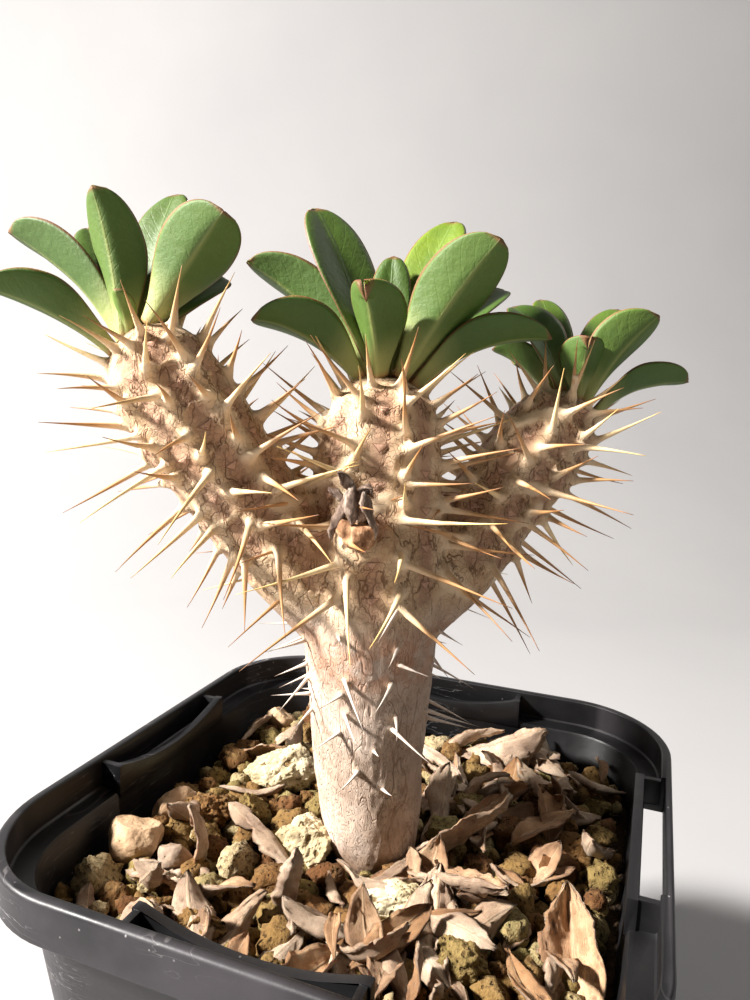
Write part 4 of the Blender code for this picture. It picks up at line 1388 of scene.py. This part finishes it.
def build_stem(limbs, spines, scars, material):
    """The stem: limbs and spine feet grown together into one skin, then wrinkled."""
    body = limb_shape(TRUNK)
    parts = [limb_shape(LEFT_LIMB), limb_shape(RIGHT_LIMB), limb_shape(PEG)]
    for foot, aim, size, old in spines:
        reach = 4.4 if not old else 1.7
        parts.append(swelling(foot, aim, min(reach, size * 0.45), 1.0 if not old else 0.55))
    whole = add_object(body, "stem_blank", material)
    for part in parts:
        extra = add_object(part, "stem_part", material)
        join_into(whole, extra)
    skin = whole.modifiers.new("Skin", "REMESH")
    skin.mode = "VOXEL"
    skin.voxel_size = BARK_VOXEL
    smooth = whole.modifiers.new("Even", "SMOOTH")
    smooth.factor = 0.5
    smooth.iterations = 3
    made = baked(whole, "stem_bark")
    bpy.data.objects.remove(whole, do_unlink=True)
    made.data.materials.clear()
    made.data.materials.append(material)

    points = points_of(made.data)
    normals = np.empty(points.size)
    made.data.vertex_normals.foreach_get("vector", normals)
    normals = normals.reshape(-1, 3)
    which = nearest_limb(points, [limbs["centre"], limbs["left"], limbs["right"]])
    height = points[:, 2]
    head = np.where(which == 0, smoothstep(103.0, 114.0, height), smoothstep(106.0, 113.0, height))

    across, along, near = scar_places(points, scars)
    swollen = swollen_share(points, spines)
    # The groove along each rank of leaf scars is pressed in below and given painted shade in bark().
    groove = (1.0 - smoothstep(0.5, 2.4, np.abs(across))) * (1.0 - smoothstep(4.0, 9.0, near))
    foot = 1.0 - smoothstep(68.0, 74.5, height + 0.8 * np.sin(points[:, 0] * 1.3))

    facing = normals @ np.array(heading(FACING, 0.0))
    patch = smoothstep(0.2, 0.7, facing) * (1 - smoothstep(2.0, 6.5, np.abs(height - PATCH_HEIGHT)))

    push = bark_relief(points, head) * (1.0 - 0.8 * swollen)
    push -= 0.35 * groove * head * (1.0 - swollen)
    shield = np.maximum((np.abs(across) - along) / 0.85, along / 0.45)
    push += 0.25 * (1.0 - smoothstep(0.7, 1.1, shield))
    moved = (points + normals * push[:, None]) * MM
    made.data.vertices.foreach_set("co", moved.ravel())
    made.data.shade_smooth()
    for name, values in (
        ("head", head),
        ("swelling", swollen),
        ("groove", groove),
        ("foot", foot),
        ("patch", patch),
        ("scar_across", across),
        ("scar_along", along),
    ):
        set_numbers(made.data, name, values)
    piece(made, "bark", "stem")


def join_into(target, extra):
    """Adds one object's mesh to another's."""
    shape = bmesh.new()
    shape.from_mesh(target.data)
    shape.from_mesh(extra.data)
    shape.to_mesh(target.data)
    shape.free()
    bpy.data.objects.remove(extra, do_unlink=True)


def spine_blank():
    """One spine a unit long: round, tapered and slightly bent."""
    rings = []
    for place in (0.0, 0.12, 0.26, 0.42, 0.58, 0.74, 0.88, 1.0):
        size = 0.62 * (1.0 - place) ** 1.1 * (0.62 + 0.5 * (1 - place)) + 0.04
        bow = 0.9 * place**2
        rings.append([(size * x + bow, size * y, place) for x, y in round_about(7)])
    made = add_object(loft(rings), "spine_blank")
    made.data.transform(Matrix.Scale(1.0 / MM, 4))
    set_numbers(made.data, "along", points_of(made.data)[:, 2] * MM)
    return made


def build_spines(spines, material):
    """All the spines, stood on their feet by Geometry Nodes."""
    mesh = bpy.data.meshes.new("spine_feet")
    mesh.from_pydata([tuple(foot * MM) for foot, _, _, _ in spines], [], [])
    set_numbers(mesh, "length", [size * MM for _, _, size, _ in spines])
    set_numbers(mesh, "old", [old for _, _, _, old in spines])
    aims = np.array([tuple(aim) for _, aim, _, _ in spines], dtype=np.float32)
    mesh.attributes.new("aim", "FLOAT_VECTOR", "POINT").data.foreach_set("vector", aims.ravel())
    base = bpy.data.objects.new("spine_feet", mesh)
    bpy.context.scene.collection.objects.link(base)
    blank = spine_blank()

    tree = Growth("spines")
    girth = tree.input("Girth", "NodeSocketFloat", 0.001)
    thin = tree.input("Old girth", "NodeSocketFloat", 0.0005)
    old = Number(tree, tree.kept("old"))
    aim = tree.kept("aim", "FLOAT_VECTOR")
    lean = tree.node("FunctionNodeAlignRotationToVector", {"axis": "Z"}, {"Vector": aim})
    roll = tree.random((0.0, 0.0, -3.1), (0.0, 0.0, 3.1), 4, "FLOAT_VECTOR")
    inputs = {"Rotation": lean, "Rotate By": roll}
    rolled = tree.node("FunctionNodeRotateRotation", {"rotation_space": "LOCAL"}, inputs)
    wide = Number(tree, girth) * (1.0 - old) + Number(tree, thin) * old
    scale = tree.node("ShaderNodeCombineXYZ", {}, {"X": wide, "Y": wide, "Z": tree.kept("length")})
    toned = tree.keep(tree.geometry, "hue", tree.random(0.0, 1.0, 8))
    points = tree.node("GeometryNodeMeshToPoints", {}, {"Mesh": toned, "Radius": 0.0001})
    kind = tree.node("GeometryNodeObjectInfo", {}, {"Object": blank}, "Geometry")
    tree.finish(tree.place_on(points, kind, rolled, scale), material)
    made = tree.grow(base, "spines", {"Girth": SPINE_GIRTH * MM, "Old girth": OLD_SPINE_GIRTH * MM})
    bpy.data.objects.remove(blank, do_unlink=True)
    piece(made, "bark")


# Leaves


def leaf_width(share):
    """A leaf's width along its length, as a share of its widest part: narrow foot, round broad tip."""
    foot = 0.22 * (1 - share) ** 2.5
    if share < WIDEST:
        blade = math.sin(math.pi / 2 * (share / WIDEST) ** 1.25)
    else:
        blade = max(1.0 - ((share - WIDEST) / (1 - WIDEST)) ** 2.3, 0.0) ** 0.5
    return max(foot + blade, 0.05)


def sheet_mesh(name, place_at, thick_at, numbers, length_steps, width_steps):
    """A closed thin solid over a grid: place_at gives middle and up, thick_at the half thickness."""
    shape = bmesh.new()
    sheets = {1: [], -1: []}
    kept = {key: [] for key in ("along", "across", "side", *numbers)}
    for side in (1, -1):
        for i in range(length_steps + 1):
            row = []
            along = i / length_steps
            for j in range(width_steps + 1):
                across = 2 * j / width_steps - 1
                middle, up = place_at(along, across)
                rim = j in (0, width_steps) or i in (0, length_steps)
                if rim and side == -1:
                    row.append(sheets[1][i][j])
                    continue
                row.append(shape.verts.new(middle if rim else middle + up * side * thick_at(along, across)))
                values = {"along": along, "across": across, "side": 0.0 if rim else side, **numbers}
                for key, value in values.items():
                    kept[key].append(value)
            sheets[side].append(row)
    for side, rows in sheets.items():
        for i in range(length_steps):
            for j in range(width_steps):
                corners = [rows[i][j], rows[i + 1][j], rows[i + 1][j + 1], rows[i][j + 1]]
                shape.faces.new(corners[:: -side])
    bmesh.ops.recalc_face_normals(shape, faces=shape.faces)
    made = add_object(shape, name)
    for key, values in kept.items():
        set_numbers(made.data, key, values)
    return made


def leaf(name, foot, tip, width, fold, roll, bow, young, flush=0.0):
    """One fleshy leaf from its foot to its tip."""
    length = (tip - foot).length
    along_axis = (tip - foot) / length
    across_axis = Vector((-along_axis.y, along_axis.x, 0.0)).normalized()
    axes = Matrix((along_axis, across_axis, along_axis.cross(across_axis))).transposed().to_4x4()
    place = Matrix.Translation(foot) @ axes @ Matrix.Rotation(math.radians(roll), 4, "X")
    drift = foot * 3.7
    peak = -NOTCH_DEPTH if name in NOTCHED_LEAVES else 0.0

    def place_at(along, across):
        half = LEAF_SLIM * width * leaf_width(along) / 2
        crease = fold * (1.1 - 0.3 * along)
        cup = 0.16 * width * leaf_width(along) * (along - 0.35)
        droop = bow * length * 4 * along * (1 - along) - 0.04 * length * max(along - 0.8, 0.0) * 8 * bow
        height = droop + crease * half * math.sqrt(across * across + 0.05) - cup * across * across * 0.5
        wave = 0.22 * noise.noise(Vector((along * 3.1, across * 1.2, 0.0)) + drift) * (0.3 + along)
        ripple = 0.10 * math.sin(along * 9 + across * 2 + drift.x) * across * across
        tip_out = along + peak * (1 - abs(across)) ** 1.3 * max(along - 0.8, 0.0) * 5
        local = Vector((tip_out * length, across * half, height + wave + ripple))
        return place @ local, (place.to_3x3() @ Vector((0, -crease * across, 1))).normalized()

    def thick_at(along, across):
        body = 0.50 - 0.12 * along + 0.55 * (1 - along) ** 6
        return body * math.sqrt(max(1.0 - across * across, 0.0)) * min(1.0, 14 * (1.01 - along)) ** 0.5

    return sheet_mesh(name, place_at, thick_at, {"young": young, "flush": flush}, *LEAF_GRID)


def leaf_foot(limb, azimuth, rise):
    """Where a leaf starts: close round the tip of a head, or lower on its shoulder for a low leaf."""
    apex = Vector(limb[-1][:3])
    axis = (apex - Vector(limb[-2][:3])).normalized()
    out = heading(azimuth, 0.0)
    out = (out - axis * out.dot(axis)).normalized()
    low = min(max((LOW_LEAF_RISE - rise) / LOW_LEAF_RISE, 0.0), 1.0)
    return apex + out * (CROWN_RING + LOW_LEAF_OUT * low) - axis * (LEAF_SINK + LOW_LEAF_DROP * low)


def build_rosettes(material):
    """The living leaves of the three heads; only the grown ones have nodes of their own."""
    for head, leaves in ROSETTES.items():
        limb = LIMBS[head]
        for kind, rows in (("leaf", leaves), ("young_leaf", YOUNG_LEAVES[head])):
            for number, (azimuth, rise, reach, *form) in enumerate(rows, start=1):
                tip = Vector(limb[-1][:3]) + reach * heading(azimuth, rise)
                foot = leaf_foot(limb, azimuth, rise)
                made = leaf(f"{head}_{kind}_{number:02d}", foot, tip, *form)
                made.data.materials.append(material)
                nodes = [f"leaf_{head}_{number:02d}"] if kind == "leaf" else []
                piece(made, "leaf_green", *nodes)


# Dried things


def dead_leaf(name, start, azimuth, pitch, roll, length, width, curl, bend, twist, tone, steps=(30, 12)):
    """A dry curled leaf: a sheet bent along its length, rolled across its width and twisted."""
    rng = random.Random(name)
    drift = drawn(rng.uniform, -40, 40)
    lean = rng.uniform(-0.5, 0.5)
    turn = Matrix.Rotation(math.radians(azimuth), 3, "Z") @ Matrix.Rotation(math.radians(-pitch), 3, "Y")
    turn = turn @ Matrix.Rotation(math.radians(roll), 3, "X")
    spine_line = []
    place = Vector((0.0, 0.0, 0.0))
    parts = 60
    for i in range(parts + 1):
        share = i / parts
        angle = math.radians(bend) * share + 0.25 * noise.noise(Vector((share * 3, 0, 0)) + drift)
        sway = 0.16 * noise.noise(Vector((share * 2, 5, 0)) + drift)
        ahead = Vector((math.cos(angle), sway, -math.sin(angle)))
        spine_line.append((place.copy(), ahead.normalized()))
        place += ahead.normalized() * length / parts
    middle = spine_line[parts // 2][0]

    def profile(along):
        body = math.sin(math.pi * min(along**1.25, 1.0)) ** 0.8 if 0 < along < 1 else 0.0
        stalk = 0.16 * (1 - along)
        return max(body, stalk, 0.04)

    def place_at(along, across):
        at, ahead = spine_line[min(int(along * parts + 0.5), parts)]
        side = Vector((0, 1, 0))
        up = ahead.cross(side).normalized() * -1
        side = up.cross(ahead).normalized() * -1
        spin = Matrix.Rotation(math.radians(twist) * (along - 0.5), 3, ahead)
        side, up = spin @ side, spin @ up
        torn = 0.2 * noise.fractal(Vector((along * 9, math.copysign(2.0, across), 3)) + drift, 0.8, 2.0, 3)
        half = width * profile(along) / 2 * (1 + torn * abs(across))
        roll_up = 0.55 + 0.45 * noise.noise(Vector((along * 2.2, 7, 2)) + drift) + 0.7 * along
        arc = math.radians(curl) / 2 * (1 + lean * across) * roll_up
        arc = math.copysign(max(abs(arc), 0.05), curl)
        radius = half / arc
        angle = arc * across
        folds = 0.09 * noise.noise(Vector((along * 3.0, across * 1.3, 1)) + drift)
        folds += 0.07 * noise.fractal(Vector((along * 8, across * 4.5, 6)) + drift, 0.7, 2.0, 3)
        crease = 0.05 * width * (1 - min(abs(across) * 4, 1.0))
        local = at + side * radius * math.sin(angle)
        local += up * (radius * (1 - math.cos(angle)) + folds * width * min(5 * along, 1.0) - crease)
        normal = (up * math.cos(angle) - side * math.sin(angle)).normalized()
        return Vector(start) + turn @ (local - middle), turn @ normal

    def thick_at(along, across):
        return 0.13 + 0.12 * (1 - abs(across)) * (1 - along)

    return sheet_mesh(name, place_at, thick_at, {"tone": tone}, *steps)


def build_litter(material):
    """The dead leaves that lie on the gravel, the main ones first and then the scraps."""
    for name, *form in LITTER:
        made = dead_leaf(f"{name}_sheet", *form, (44, 18))
        held_in(made, SOIL_TOP + 0.5)
        made.data.materials.append(material)
        piece(made, "dry_leaf", name)
    rng = random.Random(17)
    scraps = None
    for number in range(SCRAPS):
        x, y = rng.uniform(-35, 36), rng.uniform(-36, 35)
        wanted = 0.85 if x > 4 or y < -24 else 0.2
        if math.hypot(x - TRUNK[2][0], y - TRUNK[2][1]) < 9.0 or rng.random() > wanted:
            continue
        place = (x, y, rng.uniform(70.0, 73.2))
        size = rng.uniform(7.0, 15.0)
        made = dead_leaf(
            f"scrap_{number}",
            place,
            rng.uniform(0, 360),
            rng.uniform(-15, 25),
            rng.choice((0, 180)) + rng.uniform(-50, 50),
            size,
            size * rng.uniform(0.28, 0.5),
            rng.uniform(60, 190),
            rng.uniform(-60, 110),
            rng.uniform(-70, 70),
            min(max(rng.gauss(0.5, 0.2), 0.1), 0.9),
            (16, 8),
        )
        held_in(made, SOIL_TOP + 0.5)
        if scraps is None:
            scraps = made
            scraps.name = "dry_leaf_scraps"
        else:
            join_into(scraps, made)
    scraps.data.materials.append(material)
    scraps.data.shade_smooth()
    piece(scraps, "dry_leaf")


def build_stub(material):
    """The shrivelled flower stalk: a warm wrinkled knob, with curled grey flaps above it."""
    shape = bmesh.new()
    tones = []
    knob = [
        # middle, size, roughness, warmth
        ((1.5, -16.0, 122.8), (5.4, 4.4, 4.6), 0.14, 0.9),
        ((1.3, -15.4, 126.2), (3.8, 3.4, 6.0), 0.24, 0.3),
    ]
    for number, (centre, size, rough, warmth) in enumerate(knob):
        made = lump(shape, centre, size, Matrix.Identity(3), rough, 70 + number, 4)
        tones += [warmth] * len(made)
    husk = add_object(shape, "shrivelled_flower")
    set_numbers(husk.data, "tone", tones)
    for number, (place, *flap) in enumerate(STUB_FLAPS):
        made = dead_leaf(f"flap_{number}", place, *flap, 0.08, (20, 10))
        join_into(husk, made)
    husk.data.materials.append(material)
    husk.data.shade_smooth()
    piece(husk, "dried_flower", "dried_flower_stub")


# Stage


def build_floor():
    """A pale floor that sweeps up behind."""
    paint = Paint("pale_floor", {"Roughness": 0.9})
    cloud = paint.noise(3.0, 4.0, 0.6)
    paint.set(Base_Color=paint.ramp(cloud, (0.3, 0.7), (0.33, 0.325, 0.33), (0.365, 0.36, 0.36)))
    profile = [(FLOOR_FRONT, 0.0), (SWEEP_START, 0.0)]
    for step in range(1, SWEEP_STEPS + 1):
        angle = math.radians(90.0 * step / SWEEP_STEPS)
        profile.append((SWEEP_START + SWEEP_RADIUS * math.sin(angle), SWEEP_RADIUS * (1 - math.cos(angle))))
    profile.append((SWEEP_START + SWEEP_RADIUS, BACKDROP_TOP))
    shape = bmesh.new()
    rows = [[shape.verts.new((x, y, z)) for x in (-FLOOR_SIDE, FLOOR_SIDE)] for y, z in profile]
    for lower, upper in zip(rows, rows[1:]):
        shape.faces.new((lower[0], lower[1], upper[1], upper[0]))
    bmesh.ops.rotate(shape, matrix=Matrix.Rotation(math.radians(CAMERA_YAW), 3, "Z"), verts=shape.verts)
    add_object(shape, "floor", paint.material)


def build_lights():
    """A warm key light from the left, a soft fill, a light from behind and a dim sky."""
    world = bpy.data.worlds.new("studio")
    bpy.context.scene.world = world
    world.use_nodes = True
    sky = world.node_tree.nodes["Background"]
    sky.inputs["Color"].default_value = SKY_COLOUR
    sky.inputs["Strength"].default_value = SKY_STRENGTH
    for name, place, size, power, colour in LAMPS:
        lamp = bpy.data.lights.new(name, "AREA")
        lamp.size = size * MM
        lamp.energy = power
        lamp.color = colour
        holder = bpy.data.objects.new(name, lamp)
        holder.location = Vector(place) * MM
        holder.rotation_euler = (LIGHT_AIM * MM - holder.location).to_track_quat("-Z", "Y").to_euler()
        bpy.context.scene.collection.objects.link(holder)


def build_camera():
    """The camera, placed and turned by its yaw, pitch and roll."""
    camera = bpy.data.cameras.new("camera")
    camera.lens = CAMERA_LENS
    camera.sensor_width = 36.0
    camera.clip_start = 0.005
    yaw, pitch, roll = (math.radians(value) for value in (CAMERA_YAW, CAMERA_PITCH, CAMERA_ROLL))
    ahead = Vector((-math.sin(yaw) * math.cos(pitch), math.cos(yaw) * math.cos(pitch), -math.sin(pitch)))
    right = Vector((math.cos(yaw), math.sin(yaw), 0.0))
    up = right.cross(ahead)
    tilted_right = math.cos(roll) * right + math.sin(roll) * up
    tilted_up = -math.sin(roll) * right + math.cos(roll) * up
    holder = bpy.data.objects.new("camera", camera)
    turn = Matrix((tilted_right, tilted_up, -ahead)).transposed().to_4x4()
    holder.matrix_world = Matrix.Translation(CAMERA_PLACE) @ turn
    bpy.context.scene.collection.objects.link(holder)
    bpy.context.scene.camera = holder
    bpy.context.scene.view_settings.view_transform = "Standard"


def main():
    build_floor()
    build_lights()
    build_camera()
    build_pot(black_plastic())
    build_soil(potting_soil())
    clay = clay_gravel()
    crumbs = [crumb(f"crumb_{n}", 0.24, 200 + n) for n in range(6)]
    gravel_bed(crumbs, clay)
    loose_gravel(clay)
    build_stones({"pumice": pumice(), "stone": pebble(), "gravel": clay})
    limbs = {name: Limb(stations) for name, stations in LIMBS.items()}
    spines, scars = spine_plan(limbs)
    build_stem(limbs, spines, scars, bark())
    build_spines(spines, spine_horn())
    build_rosettes(leaf_green())
    build_litter(dry_leaf())
    build_stub(dried_flower())


main()
